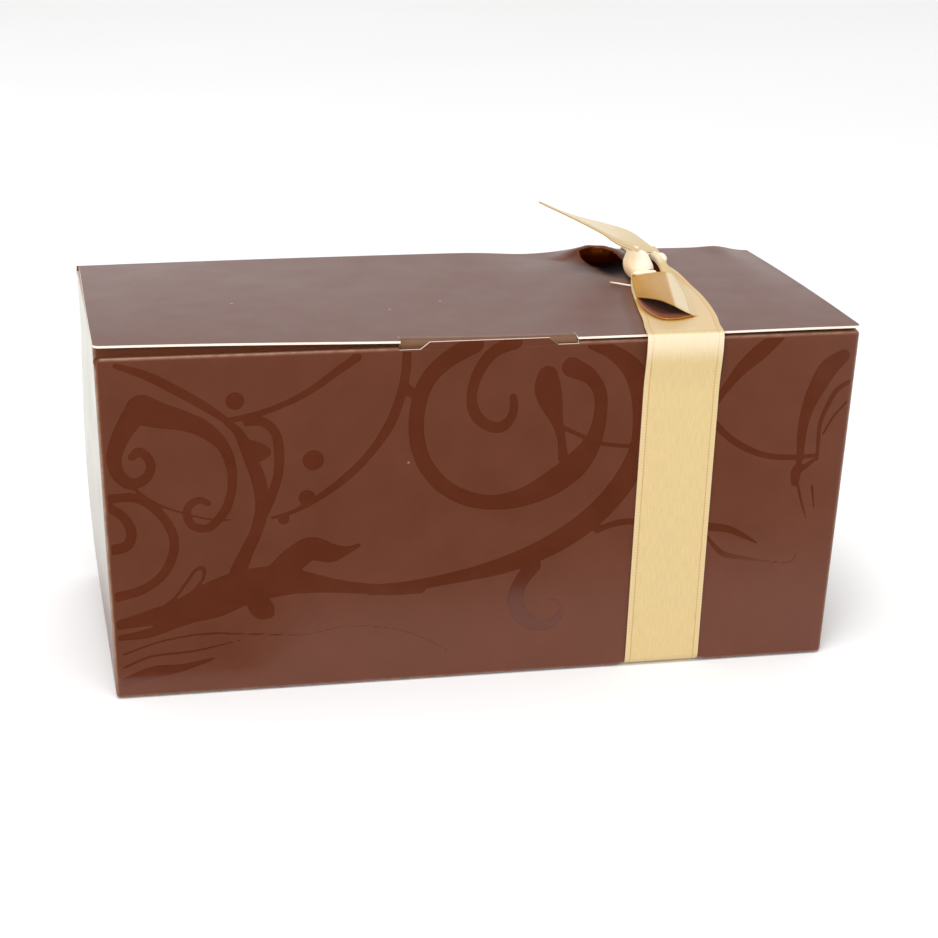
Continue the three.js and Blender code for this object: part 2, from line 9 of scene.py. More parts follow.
import bmesh
import bpy
import numpy as np
from bpy.props import FloatProperty, FloatVectorProperty, PointerProperty
from mathutils import Matrix, Vector


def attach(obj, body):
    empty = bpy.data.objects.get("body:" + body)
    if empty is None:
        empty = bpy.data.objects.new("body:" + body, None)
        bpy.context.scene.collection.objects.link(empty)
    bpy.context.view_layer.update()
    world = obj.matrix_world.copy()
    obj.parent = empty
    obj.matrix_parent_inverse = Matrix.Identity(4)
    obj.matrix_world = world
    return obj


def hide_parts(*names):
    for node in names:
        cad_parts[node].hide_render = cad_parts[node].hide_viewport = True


bl_info = {
    "name": "Chocolate gift box",
    "version": (1, 0, 0),
    "blender": (4, 5, 0),
    "location": "View3D > Sidebar > Gift box",
    "description": "Dresses a folding-carton gift box with printed board, spot varnish and a satin ribbon",
    "category": "Object",
}

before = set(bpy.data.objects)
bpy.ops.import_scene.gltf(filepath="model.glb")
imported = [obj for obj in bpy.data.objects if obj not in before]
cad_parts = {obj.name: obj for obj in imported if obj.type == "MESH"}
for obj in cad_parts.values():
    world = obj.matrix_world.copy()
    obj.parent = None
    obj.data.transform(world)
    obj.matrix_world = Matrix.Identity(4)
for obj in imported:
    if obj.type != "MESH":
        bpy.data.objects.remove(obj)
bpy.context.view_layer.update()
MM = 0.001


# ------------------------------------------------------------------ what a user would change


def length(name, description, default):
    return FloatProperty(name=name, description=description, default=default * MM,
                         subtype="DISTANCE", unit="LENGTH", precision=5)


def colour(name, description, default):
    return FloatVectorProperty(name=name, description=description, default=default,
                               subtype="COLOR", min=0.0, max=1.0)


class BoxSizes(bpy.types.PropertyGroup):
    """Sizes of the carton and its lid."""

    top_length: length("Top length", "Length of the box at the lid", 150.0)
    top_depth: length("Top depth", "Depth of the box at the lid", 72.0)
    base_length: length("Base length", "Length of the box at its base", 145.2)
    base_depth: length("Base depth", "Depth of the box at its base", 67.2)
    height: length("Wall height", "Height of the walls at their folds", 69.9)
    board: length("Board", "Thickness of the folding board", 0.45)
    fold_radius: length("Fold radius", "Outer radius of the folds of the board", 0.8)
    end_bulge: length("End bulge", "How far the end walls bow out", 1.7)
    sprung_corner: length("Sprung corner", "How far the lid springs up at the front left", 1.6)
    tongue_width: length("Tongue width", "Width of the tongue tucked in at the front", 34.6)


class RibbonSizes(bpy.types.PropertyGroup):
    """Sizes of the ribbon."""

    width: length("Width", "Width of the ribbon", 15.4)
    thickness: length("Thickness", "Thickness of the ribbon", 0.3)
    off_board: length("Off the board", "From the board to the middle of the ribbon", 0.3)
    selvedge: length("Selvedge", "Width of the woven edge of the ribbon", 1.05)


class Colours(bpy.types.PropertyGroup):
    """Colours of the board, the varnish and the ribbon, as linear light."""

    board: colour("Board", "Printed brown of the walls", (0.108, 0.0285, 0.0112))
    lid: colour("Lid", "Printed brown of the lid", (0.100, 0.0266, 0.0110))
    tongue: colour("Tongue", "Printed brown of the tongue, stretched over its bend", (0.115, 0.045, 0.016))
    varnish: colour("Varnish", "Brown under the clear varnish", (0.084, 0.0176, 0.0056))
    raw_edge: colour("Raw edge", "Cut edges and the inside of the board", (0.86, 0.75, 0.64))
    ribbon: colour("Ribbon", "Face of the satin", (0.575, 0.435, 0.215))
    # Painted highlight: the pale satin colour laid where the ribbon catches the light, on its top front fold
    # and in the knot.
    ribbon_drawn: colour("Painted ribbon highlight", "Satin drawn tight in the knot", (0.80, 0.71, 0.56))
    ribbon_back: colour("Ribbon reverse", "Dull reverse of the satin", (0.52, 0.31, 0.078))


class StageSettings(bpy.types.PropertyGroup):
    """Light and camera."""

    sky: FloatProperty(name="Sky", description="Strength of the white surroundings", default=0.80)
    key: FloatProperty(name="Overhead light", description="Power of the soft light above the box",
                       default=7.0, unit="POWER")
    fill: FloatProperty(name="Front light", description="Power of the soft light in front of the box",
                        default=14.0, unit="POWER")
    lens: FloatProperty(name="Lens", description="Focal length of the camera", default=86.55,
                        unit="CAMERA")


# ------------------------------------------------------------------ small arithmetic


def smooth(start, end, value):
    t = np.clip((np.asarray(value, float) - start) / (end - start), 0.0, 1.0)
    return t * t * (3.0 - 2.0 * t)


def mix(a, b, t):
    return a + (b - a) * t


def mound(x, y, centre, size):
    return np.exp(-(((x - centre[0]) / size[0]) ** 2) - ((y - centre[1]) / size[1]) ** 2)


def spread(start, end, count):
    return list(np.linspace(start, end, count + 1))


def smooth_curve(points, t):
    """Points of a centripetal spline through the given points, for t from 0 to 1."""
    p = np.asarray(points, float)
    p = np.vstack([2 * p[0] - p[1], p, 2 * p[-1] - p[-2]])
    spans = len(points) - 1
    place = np.clip(np.asarray(t, float), 0, 1) * spans
    n = np.minimum(place.astype(int), spans - 1)
    w = (place - n)[..., None]
    p0, p1, p2, p3 = p[n], p[n + 1], p[n + 2], p[n + 3]
    d0, d1, d2 = (np.maximum(np.linalg.norm(b - a, axis=-1)[..., None] ** 0.5, 1e-4)
                  for a, b in ((p0, p1), (p1, p2), (p2, p3)))
    m1 = ((p1 - p0) / d0 - (p2 - p0) / (d0 + d1) + (p2 - p1) / d1) * d1
    m2 = ((p2 - p1) / d1 - (p3 - p1) / (d1 + d2) + (p3 - p2) / d2) * d1
    return ((2 * p1 - 2 * p2 + m1 + m2) * w ** 3 + (-3 * p1 + 3 * p2 - 2 * m1 - m2) * w ** 2
            + m1 * w + p1)


# ------------------------------------------------------------------ the shapes of board and ribbon


class Box:
    """The carton's surfaces, worked out from the sizes in the sidebar."""

    LID_BACK_Z, LID_FRONT_Z, LID_CROWN = 70.0, 70.55, 0.45
    HINGE_RADIUS, CREASE_Z = 0.8, 68.2
    TONGUE_LEVEL, TONGUE_BEND, TONGUE_END_Z = 1.5, 1.0, 68.4
    CUT_EDGE_Z, LIP_TOP_Z, LIP_TOP_WIDTH, LIP_FOOT_WIDTH = 69.4, 70.8, 23.4, 27.0
    GAP = 0.3
    # The ribbon lies in a shallow groove across the base.
    GROOVE = 0.42
    # Where the crest of the lid's buckle runs, from its left end to the ribbon, and how high it is.
    CREST = ((29.0, 26.0, 0.0), (31.6, 28.8, 0.55), (34.2, 31.0, 1.35), (37.2, 32.2, 1.8),
             (40.2, 31.8, 1.7), (42.1, 29.9, 1.4), (42.8, 27.0, 1.1), (43.0, 23.6, 0.6), (43.2, 19.5, 0.0))

    def __init__(self):
        s = bpy.context.scene.gift_box_sizes
        r = bpy.context.scene.gift_box_ribbon
        self.length, self.depth = s.top_length / MM, s.top_depth / MM
        self.base_length, self.base_depth = s.base_length / MM, s.base_depth / MM
        self.height, self.board = s.height / MM, s.board / MM
        self.fold, self.bulge = s.fold_radius / MM, s.end_bulge / MM
        self.sprung, self.tongue = s.sprung_corner / MM, s.tongue_width / MM
        self.front_y = -self.depth / 2
        self.hinge_y = self.depth / 2 - self.board / 2 - self.HINGE_RADIUS
        self.ribbon_width, self.ribbon_thick = r.width / MM, r.thickness / MM
        self.ribbon_off = r.off_board / MM

    def from_crest(self, x, y):
        """Distance of places of the lid from the crest of its buckle, less than 0 in the hollow in
        front of it, and the height of the crest at the nearest place."""
        x, y = np.asarray(x, float), np.asarray(y, float)
        nearest = np.full(np.broadcast(x, y).shape, 1e9)
        side, height = np.zeros(nearest.shape), np.zeros(nearest.shape)
        for (ax, ay, ah), (bx, by, bh) in zip(self.CREST, self.CREST[1:]):
            dx, dy = bx - ax, by - ay
            t = np.clip(((x - ax) * dx + (y - ay) * dy) / (dx * dx + dy * dy), 0, 1)
            px, py = x - ax - t * dx, y - ay - t * dy
            away = np.hypot(px, py)
            nearer = away < nearest
            nearest = np.where(nearer, away, nearest)
            side = np.where(nearer, np.sign(dx * py - dy * px), side)
            height = np.where(nearer, mix(ah, bh, t), height)
        return nearest * side, height

    def buckle(self, x, y):
        """The lid is pinched up into a curved ridge beside the knot, with a hollow in front of it."""
        out, crest = self.from_crest(x, y)
        behind, in_front = np.exp(-((out / 3.3) ** 2)), np.exp(-((np.abs(out) / 1.15) ** 1.2))
        pocket = 0.6 * mound(x, y, (38, 26), (4, 3.6)) + 0.9 * mound(x, y, (38, 20), (6, 9))
        left_dip = 0.6 * mound(x, y, (23, 36), (8, 14))
        return crest * np.where(out > 0, behind, in_front) - pocket - left_dip

    def buckle_shade(self, x, y):
        """How much painted shade a place of the lid gets in the hollow of the buckle, from 0 to 1."""
        out, _ = self.from_crest(x, y)
        inside = smooth(0.15, -0.25, out)
        # Painted shade, weaker towards the front of the lid and at the left of the hollow.
        depth = np.interp(y, (2, 6, 11, 17, 22, 27), (0.08, 0.38, 0.7, 0.88, 0.96, 1.0))
        left = np.interp(y, (4, 12, 22, 29), (32.0, 31.0, 32.8, 33.6))
        soft = np.interp(y, (4, 12, 22, 29), (8.0, 7.0, 4.5, 1.2))
        return inside * depth * smooth(0, 1, (x - left) / soft) * (y < 33)

    def lid_height(self, x, y):
        """Height of the middle of the lid's board: bowed, sprung at the front left, and buckled."""
        to_front = np.clip((self.hinge_y - y) / (self.hinge_y - self.front_y), 0, 1)
        arch = 1 - (1 - to_front) ** 2
        half = self.length / 2
        back = self.LID_BACK_Z + self.LID_CROWN * (1 - (x / half) ** 2)
        back = back - 0.8 * smooth(67, half, x) + 0.3 * mound(x, y, (67, 36), (3.5, 9))
        front = self.LID_FRONT_Z + self.sprung * smooth(15, -80, x) + 0.2 * smooth(30, 68, x)
        return mix(back, front, arch) + self.buckle(x, y)

    def lid_top(self, x, y):
        return self.lid_height(x, y) + self.board / 2

    def half_depth(self, z):
        return mix(self.base_depth, self.depth, z / self.height) / 2

    def half_length(self, z):
        return mix(self.base_length, self.length, z / self.height) / 2

    def ribbon_x_below(self, y):
        """Where the middle of the ribbon runs under the base."""
        return mix(BAND_X["front foot"], BAND_X["back foot"], (y + self.base_depth / 2) / self.base_depth)

    def tongue_bend_y(self):
        return self.front_y + self.board + self.GAP + self.board / 2 + self.TONGUE_BEND

    def lid_start(self):
        return -self.HINGE_RADIUS * math.pi / 2 - (self.LID_BACK_Z - self.HINGE_RADIUS - self.CREASE_Z)

    def lid_point(self, x, travel, inside=0.0):
        """Points of the lid's middle, for places x. Travel 0 is where the bend over the back wall
        ends, and goes on to the front edge. inside moves the points in from the board's middle."""
        arc = self.HINGE_RADIUS * math.pi / 2
        if travel >= 0:
            y = self.hinge_y - travel
            px, py = self.rounded_corner(x, y)
            half = self.length / 2
            px = px + 0.45 * smooth(-20, self.hinge_y, y) * smooth(1.4 - half, -half, x)
            return np.stack([px, py, self.lid_height(x, y) - inside], axis=1)
        turned = min(-travel, arc) / self.HINGE_RADIUS
        down = max(0.0, -travel - arc)
        top = self.lid_height(x, self.hinge_y)
        radius = self.HINGE_RADIUS - inside
        z = top - self.HINGE_RADIUS + radius * math.cos(turned)
        room = (top - self.HINGE_RADIUS - self.CREASE_Z) / (-self.lid_start() - arc)
        y = np.full_like(x, self.hinge_y + radius * math.sin(turned))
        return np.stack([x, y, z - down * room], axis=1)

    def rounded_corner(self, x, y, radius=1.3):
        """Pull places near the lid's two front corners in, so that the corners are round."""
        cx, cy = self.length / 2 - radius, self.front_y + radius
        qx, qy = np.maximum(0, np.abs(x) - cx), np.maximum(0, cy - y) + np.zeros_like(x)
        both = (qx > 0) & (qy > 0)
        pull = np.where(both, np.maximum(qx, qy) / np.maximum(np.hypot(qx, qy), 1e-9), 1.0)
        return (np.where(both, np.sign(x) * (cx + qx * pull), x),
                np.where(both, cy - qy * pull, y + np.zeros_like(x)))

    def tongue_point(self, x, travel):
        """Points of the tongue's middle, from where it leaves the lid, over its bend and down."""
        arc = self.TONGUE_BEND * math.pi / 2
        bend_y = self.tongue_bend_y()
        if travel < self.TONGUE_LEVEL:
            y = bend_y + self.TONGUE_LEVEL - travel
            return np.stack([x, np.full_like(x, y), self.lid_height(x, y)], axis=1)
        turned = min(travel - self.TONGUE_LEVEL, arc) / self.TONGUE_BEND
        down = max(0.0, travel - self.TONGUE_LEVEL - arc)
        top = self.lid_height(x, bend_y)
        foot = (top - self.TONGUE_BEND - self.TONGUE_END_Z) * down
        y = np.full_like(x, bend_y - self.TONGUE_BEND * math.sin(turned))
        return np.stack([x, y, top - self.TONGUE_BEND * (1 - math.cos(turned)) - foot], axis=1)


# The varnish pattern: each stroke is a line of points x, z and half width on the front wall.
SCROLLS = {
    "arc to the left": [(-50.2, 56.5, 0.58), (-54.5, 59.7, 0.87), (-60.1, 63.3, 0.9), (-65.6, 66.4, 0.85),
        (-71, 68.4, 0.5)],
    "arc to the lip": [(-50.6, 56.7, 0.58), (-45.1, 57.7, 0.59), (-40, 59.4, 0.59), (-35, 61.8, 0.68),
        (-29.9, 65.4, 0.78), (-25.7, 68.4, 0.88)],
    "left scroll": [(-66.4, 59.6, 3), (-62.8, 58.3, 2.5), (-58.3, 57, 1.93), (-54.6, 55.1, 1.65),
        (-51.4, 51.9, 1.17), (-49.8, 47.8, 0.98), (-49.6, 43.3, 0.89), (-51, 38.6, 0.9),
        (-54.3, 35.1, 0.8), (-57.2, 35.7, 0.8), (-58.3, 38, 0.79), (-57.7, 40, 0.79), (-55.7, 40.9, 0.69),
        (-54.2, 40.2, 0.59)],
    "left curl": [(-68.2, 58.1, 2.11), (-70.3, 54.6, 1.73), (-71.7, 50.3, 1.45), (-71.1, 47, 1.26),
        (-68.7, 44.9, 1.17), (-66, 45.8, 0.98), (-64.9, 48.1, 0.88), (-65.6, 50.2, 0.87),
        (-67.2, 51.3, 0.87), (-68.4, 50.3, 0.77)],
    "left ring": [(-72.9, 42.1, 0.88), (-68, 42, 0.88), (-63.7, 38.9, 0.89), (-61, 34, 0.89),
        (-61.1, 29.9, 0.9), (-63.3, 25.6, 0.9), (-67.2, 22.9, 0.9), (-71.8, 21.7, 1)],
    "left inner ring": [(-72.8, 40.2, 0.88), (-70.4, 38.3, 0.88), (-68.9, 35.1, 0.99),
        (-69.6, 32.4, 0.99), (-72.2, 31.6, 1.09)],
    "thin line": [(-68.7, 44.3, 0.29), (-64.3, 40.8, 0.24), (-59.2, 38.5, 0.2), (-52.4, 36.6, 0.16),
        (-48.5, 36.8, 0.1)],
    "tall stem": [(-48.6, 25.6, 1.62), (-46.9, 29.7, 1.31), (-45.1, 33.7, 1.21), (-43.9, 38.7, 1.3),
        (-44.4, 44, 1.39), (-45.8, 48.2, 1.28), (-47.1, 51.7, 1.18), (-48.4, 54.4, 0.88),
        (-50.6, 56.5, 0.58)],
    "stem knob": [(-46.7, 51.5, 1.37), (-44.8, 50.2, 1.97), (-43.1, 50.1, 0.99)],
    "looped stem": [(-44.7, 34.5, 0.7), (-42.2, 40.6, 0.9), (-40.8, 45.3, 0.89), (-40.6, 50, 0.99),
        (-41.3, 53.9, 0.88), (-43.6, 56.2, 0.88), (-46.8, 56.1, 0.59)],
    "big arc": [(-16.1, 69.2, 0.88), (-16.3, 65, 0.89), (-17, 61, 0.89), (-19, 55.1, 1),
        (-22.8, 49.1, 0.8), (-27.8, 44, 0.8), (-33.6, 39.8, 0.6), (-38.1, 37.5, 0.4), (-42, 36.5, 0.3)],
    "thorn": [(-16.8, 62.2, 0.79), (-15.6, 61.2, 0.99), (-14.4, 59.9, 0.4)],
    "trunk": [(-71.5, 15.8, 1.01), (-65.8, 16.9, 1.62), (-59.6, 18, 2.64), (-53.2, 20.1, 3.86),
        (-47.3, 22.3, 3.66), (-40.1, 23.1, 3.07), (-34.2, 22.3, 2.05), (-27.1, 21, 1.24),
        (-18.7, 19.9, 1.15), (-12.6, 19.9, 1.15)],
    "leaf": [(-41.2, 23.4, 3.06), (-37.9, 27.4, 2.65), (-34.4, 29.6, 2.44), (-30.5, 28.5, 1.94),
        (-27.3, 28.9, 0.82), (-25, 29.8, 0.41)],
    "bud below": [(-45.6, 19.4, 1.64), (-44, 17.6, 2.26), (-42.8, 16.5, 1.23)],
    "loop leaf": [(-63.2, 18.4, 0.81), (-60.9, 20.8, 0.3), (-58.5, 24.1, 0.3), (-56.7, 26.5, 0.3),
        (-55.4, 26.8, 0.4), (-55.2, 25.1, 0.3), (-57.2, 22.1, 0.3), (-59.5, 19.9, 0.3),
        (-62.3, 18.8, 0.4)],
    "ring": [(-3, 70.1, 1.78), (-8.3, 67.1, 1.68), (-12.1, 63.1, 1.59), (-13.8, 57.7, 1.5),
        (-13.9, 51.5, 1.51), (-12.2, 46.1, 1.52), (-8.7, 41.6, 1.53), (-3.9, 38.6, 1.54),
        (1.6, 37.4, 1.55), (7.6, 38.2, 1.97), (13.6, 41, 2.59), (18.3, 44.8, 2.59), (21.3, 49.3, 1.76),
        (22.5, 54.6, 1.34), (22.2, 59.4, 1.33), (20, 62.7, 1.52), (16.4, 64.7, 2.02)],
    "inner hook": [(5.1, 70.2, 1.29), (0.8, 68.4, 1.19), (-2, 64.7, 1.1), (-3.3, 59.8, 1),
        (-2.6, 56.1, 1.11), (-0.1, 53.6, 1.11), (2.5, 53, 1.12), (4.6, 54.8, 0.91), (5.1, 57.2, 0.81),
        (4.9, 59.1, 0.71)],
    "club": [(11.6, 63.1, 2.02), (11.7, 60.6, 2.63), (12.5, 57.7, 2.23), (13.6, 54.4, 1.33),
        (14.8, 50.4, 0.82), (15.4, 46, 1.03)],
    "tendril": [(14.9, 52.5, 0.41), (18.6, 50.6, 0.41), (22.7, 48.8, 0.36), (31, 47.5, 0.42)],
    "main stem": [(20.1, 69, 0.81), (24.2, 67.5, 1.42), (28.4, 64, 2.04), (30.9, 59, 2.47),
        (31.7, 52.7, 2.49), (31, 46.9, 2.3), (28.1, 40.5, 2.31), (23.4, 34.6, 2.32), (18.5, 30.5, 2.32),
        (11.7, 26.6, 2.11), (4.1, 23.8, 1.79), (-2.6, 22.3, 1.37), (-9.2, 21.2, 1.15),
        (-16.1, 20.3, 1.15), (-22.3, 20.1, 1.14)],
    "right branch": [(23, 30.3, 0.64), (27.1, 31.6, 0.64), (31.9, 31.7, 0.64), (40.2, 31, 0.75),
        (47, 29.6, 0.86), (50.2, 29, 0.76), (53.7, 27.4, 0.54), (56.9, 25.5, 0.16)],
    "lower curl": [(10.2, 23.3, 1.59), (7.9, 20.1, 1.48), (6.8, 16.5, 1.6), (7.9, 12.9, 1.6),
        (10.9, 10.5, 1.4), (14.2, 10.5, 1.08), (16.2, 12.8, 0.65), (15.5, 15.3, 0.32), (14, 16, 0.21)],
    "right stroke": [(58.4, 69.8, 1.24), (54.4, 66.3, 1.66), (51.1, 63.3, 1.35), (48.6, 60.1, 0.94),
        (46, 56.3, 0.73)],
    "right club": [(71.8, 64.8, 1.37), (69, 62.4, 2), (66.9, 58.5, 1.79), (65.2, 53.8, 1.27),
        (64.5, 48.9, 0.96), (64.5, 44.6, 0.75), (64.3, 41.4, 0.54)],
    "right arc": [(42.8, 55.8, 0.73), (47.9, 49.9, 0.68), (51, 47.4, 0.69), (55.4, 45.1, 0.64),
        (59.7, 44, 0.59), (63.9, 43.8, 0.54), (68.1, 44, 0.32)],
    "thin right": [(74.1, 59.7, 0.42), (71.1, 57.7, 0.53), (69.3, 54.2, 0.48), (68.2, 50.9, 0.43),
        (68.1, 46.6, 0.38), (68.2, 43, 0.22)],
    "finer right": [(73.7, 55.5, 0.21), (70.8, 52, 0.23), (69, 48.5, 0.21)],
    "scribble": [(63.9, 38.4, 0.86), (64.1, 41, 1.08), (65.8, 41.8, 0.54), (67.8, 43.2, 0.32)],
    "thread left": [(64.4, 38.2, 0.32), (65.9, 33.1, 0.22), (66.9, 30.4, 0.11)],
    "thread right": [(67.6, 37.4, 0.27), (68.5, 32.1, 0.13)],
    "leaf line": [(45.9, 27.7, 0.32), (49.6, 23.7, 0.54), (54.1, 22.4, 0.33), (59.3, 21.4, 0.16),
        (64.3, 20.9, 0.17), (65.6, 22.8, 0.13)],
    "long low arc": [(-71.1, 9.4, 0.2), (-64, 11.7, 0.2), (-55.2, 12.8, 0.2), (-45.4, 12.1, 0.17),
        (-35.5, 11.4, 0.15), (-26.6, 12.6, 0.15), (-16.5, 11, 0.15), (-10.4, 8.2, 0.13),
        (-6.2, 5.5, 0.11)],
    "root": [(-71.6, 13, 0.55), (-66.5, 13.6, 0.95), (-60.5, 15.4, 0.9), (-55, 16.9, 0.7)],
    "foot": [(-70.6, 3.6, 0.9), (-65.4, 5.2, 1.3), (-59.4, 5.9, 0.75), (-53.6, 7.4, 0.25)],
    "short low arc": [(-71, 6.6, 0.2), (-66, 8.6, 0.25), (-57.2, 9.3, 0.21), (-48.4, 11, 0.14)],
}
ROUND_DOTS = [(-48.9, 60.6, 1.74), (-34.0, 48.0, 2.05), (-35.2, 40.3, 1.61), (-39.7, 36.1, 1.07)]


# ------------------------------------------------------------------ meshes


def new_piece(name, points, faces, materials, smooth_shading=True, woven=None):
    """A piece from points in millimetres. woven holds, for each point, its place across and along a
    ribbon and the ribbon's width there."""
    mesh = bpy.data.meshes.new(name)
    mesh.from_pydata((np.asarray(points, float) * MM).tolist(), [], faces)
    mesh.update()
    for material in materials:
        mesh.materials.append(material)
    if smooth_shading:
        mesh.shade_smooth()
    if woven is not None:
        mesh.attributes.new("woven", "FLOAT_VECTOR", "POINT").data.foreach_set(
            "vector", np.asarray(woven, float).ravel())
    piece = bpy.data.objects.new(name, mesh)
    bpy.context.scene.collection.objects.link(piece)
    return piece


def give_mask(piece, name, values):
    piece.data.attributes.new(name, "FLOAT", "POINT").data.foreach_set(
        "value", np.asarray(values, float).ravel())


def grid_faces(rows, columns, wrapped=False):
    """Faces between neighbouring points of a grid that is listed row by row."""
    faces = []
    last = columns if wrapped else columns - 1
    for r in range(rows - 1):
        for c in range(last):
            a, b = r * columns + c, r * columns + (c + 1) % columns
            faces.append((a, b, b + columns, a + columns))
    return faces


def apply_modifiers(piece):
    graph = bpy.context.evaluated_depsgraph_get()
    mesh = bpy.data.meshes.new_from_object(piece.evaluated_get(graph))
    old = piece.data
    piece.modifiers.clear()
    piece.data = mesh
    bpy.data.meshes.remove(old)
    mesh.name = piece.name


def thicken(piece, thickness, inside=0, rim=0):
    """Give a sheet its thickness, half to each side, with other materials inside and at its rim."""
    made = piece.modifiers.new("thickness", "SOLIDIFY")
    made.thickness = thickness * MM
    made.offset = 0.0
    made.use_quality_normals = True
    made.material_offset = inside
    made.material_offset_rim = rim
    apply_modifiers(piece)


def crisp_edges(piece, degrees):
    piece.data.set_sharp_from_angle(angle=math.radians(degrees))


def lattice_box(xs, ys, zs):
    """The outer points of a lattice, and the faces between them."""
    counts = (len(xs) - 1, len(ys) - 1, len(zs) - 1)
    found, lattice, faces = {}, [], []

    def corner(*key):
        if key not in found:
            found[key] = len(lattice)
            lattice.append(key)
        return found[key]

    for axis in range(3):
        a, b = [(1, 2), (2, 0), (0, 1)][axis]
        for level in (0, counts[axis]):
            for m in range(counts[a]):
                for n in range(counts[b]):
                    ring = []
                    for dm, dn in ((0, 0), (1, 0), (1, 1), (0, 1)):
                        key = [0, 0, 0]
                        key[axis], key[a], key[b] = level, m + dm, n + dn
                        ring.append(corner(*key))
                    faces.append(ring if level else ring[::-1])
    keys = np.array(lattice)
    return np.array(xs)[keys[:, 0]], np.array(ys)[keys[:, 1]], np.array(zs)[keys[:, 2]], faces


def prism(outline, y0, y1):
    """Points and faces of an outline in the X-Z plane, listed clockwise from the front, from y0 to y1."""
    n = len(outline)
    points = [(x, y0, z) for x, z in outline] + [(x, y1, z) for x, z in outline]
    faces = [tuple(range(n))[::-1], tuple(range(n, 2 * n))]
    faces += [(i, (i + 1) % n, n + (i + 1) % n, n + i) for i in range(n)]
    return points, faces


def slab(near, far):
    """Points and faces of the solid between two grids of points, each a list of rows."""
    rows, count = len(near), len(near[0])
    size = rows * count
    faces = grid_faces(rows, count)
    faces += [tuple(i + size for i in f[::-1]) for f in faces]
    for side in (range(0, size, count), range(count - 1, size, count), range(count),
                 range(size - count, size)):
        faces += [(a, b, b + size, a + size) for a, b in zip(side, side[1:])]
    return np.concatenate([*near, *far]), faces


def cut_away(piece, points, faces, material):
    """Cut a shape out of a piece. The cut faces get the material."""
    cutter = new_piece("cutter", points, faces, [material], smooth_shading=False)
    bm = bmesh.new()
    bm.from_mesh(cutter.data)
    bmesh.ops.recalc_face_normals(bm, faces=bm.faces)
    bm.to_mesh(cutter.data)
    bm.free()
    made = piece.modifiers.new("cut", "BOOLEAN")
    made.operation, made.object, made.solver = "DIFFERENCE", cutter, "EXACT"
    made.material_mode = "TRANSFER"
    apply_modifiers(piece)
    bpy.data.objects.remove(cutter)


# ------------------------------------------------------------------ nodes


class Nodes:
    """A short way to write a node tree."""

    def __init__(self, tree):
        self.tree = tree

    def add(self, kind, inputs=None, **settings):
        node = self.tree.nodes.new("ShaderNode" + kind)
        for key, value in settings.items():
            setattr(node, key, value)
        for key, value in (inputs or {}).items():
            self.set(node.inputs[key], value)
        return node

    def set(self, socket, value):
        if isinstance(value, bpy.types.NodeSocket):
            self.tree.links.new(value, socket)
        else:
            socket.default_value = value

    def math(self, operation, *values, clamp=False):
        node = self.add("Math", dict(enumerate(values)), operation=operation, use_clamp=clamp)
        return node.outputs[0]

    def times(self, first, *others, clamp=False):
        for other in others:
            first = self.math("MULTIPLY", first, other, clamp=clamp)
        return first

    def plus(self, first, *others, clamp=False):
        for other in others:
            first = self.math("ADD", first, other, clamp=clamp)
        return first

    def minus(self, a, b):
        return self.math("SUBTRACT", a, b)

    def ramp(self, value, low, high, to_low=0.0, to_high=1.0):
        node = self.add("MapRange", {"Value": value, "From Min": low, "From Max": high,
                                     "To Min": to_low, "To Max": to_high},
                        interpolation_type="SMOOTHSTEP")
        return node.outputs["Result"]

    def blend(self, factor, a, b):
        node = self.add("Mix", data_type="RGBA")
        self.set(node.inputs["Factor"], factor)
        self.set(node.inputs[6], a)
        self.set(node.inputs[7], b)
        return node.outputs[2]

    def noise(self, vector, scale, detail=3.0, roughness=0.55):
        node = self.add("TexNoise", {"Vector": vector, "Scale": scale, "Detail": detail,
                                     "Roughness": roughness})
        return node.outputs["Fac"]

    def stretch(self, vector, x, y, z):
        node = self.add("VectorMath", {0: vector, 1: (x, y, z)}, operation="MULTIPLY")
        return node.outputs["Vector"]

    def mask(self, name):
        """A value that the mesh holds for each of its points."""
        return self.add("Attribute", attribute_name=name).outputs["Fac"]

    def place(self, tree, inputs):
        """A shared effect, put among the nodes of a material."""
        node = self.tree.nodes.new("ShaderNodeGroup")
        node.node_tree = tree
        for key, value in inputs.items():
            self.set(node.inputs[key], value)
        return node.outputs


def shared_effect(name, vector, values, outputs):
    """Turn a function that fills a node group into one that gives the group, built at its first use.
    The group takes a vector and values with their defaults, and gives values."""

    def decorate(fill):
        def find_or_build():
            if name in bpy.data.node_groups:
                return bpy.data.node_groups[name]
            tree = bpy.data.node_groups.new(name, "ShaderNodeTree")
            tree.interface.new_socket(name=vector, in_out="INPUT", socket_type="NodeSocketVector")
            for title, value in values.items():
                socket = tree.interface.new_socket(name=title, in_out="INPUT", socket_type="NodeSocketFloat")
                socket.default_value = value
            for title in outputs:
                tree.interface.new_socket(name=title, in_out="OUTPUT", socket_type="NodeSocketFloat")
            given = tree.nodes.new("NodeGroupInput").outputs
            fill(Nodes(tree), given, tree.nodes.new("NodeGroupOutput").inputs)
            return tree
        return find_or_build
    return decorate


@shared_effect("Board fibres", "Place", {"Fibre size": 0.35, "Specks": 0.5}, ("Height", "Mottling", "Speck"))
def board_fibres(n, given, out):
    """Paper fibres, soft mottling and specks of dust of printed board."""
    per_fibre = n.math("DIVIDE", 1000.0, given["Fibre size"])
    fibres = n.noise(n.stretch(given["Place"], 1.0, 1.0, 0.6), per_fibre, 4.0, 0.6)
    fine = n.noise(given["Place"], n.times(per_fibre, 2.7), 2.0)
    n.set(out["Height"], n.plus(n.times(fibres, 0.7), n.times(fine, 0.3)))
    n.set(out["Mottling"], n.noise(given["Place"], 110.0, 5.0, 0.62))
    cells = n.add("TexVoronoi", {"Vector": given["Place"], "Scale": 260.0}, feature="F1")
    near = n.ramp(cells.outputs["Distance"], 0.05, 0.11, 1.0, 0.0)
    chosen = n.add("SeparateColor", {"Color": cells.outputs["Color"]}).outputs[0]
    few = n.math("GREATER_THAN", chosen, 0.975)
    n.set(out["Speck"], n.times(near, few, given["Specks"]))


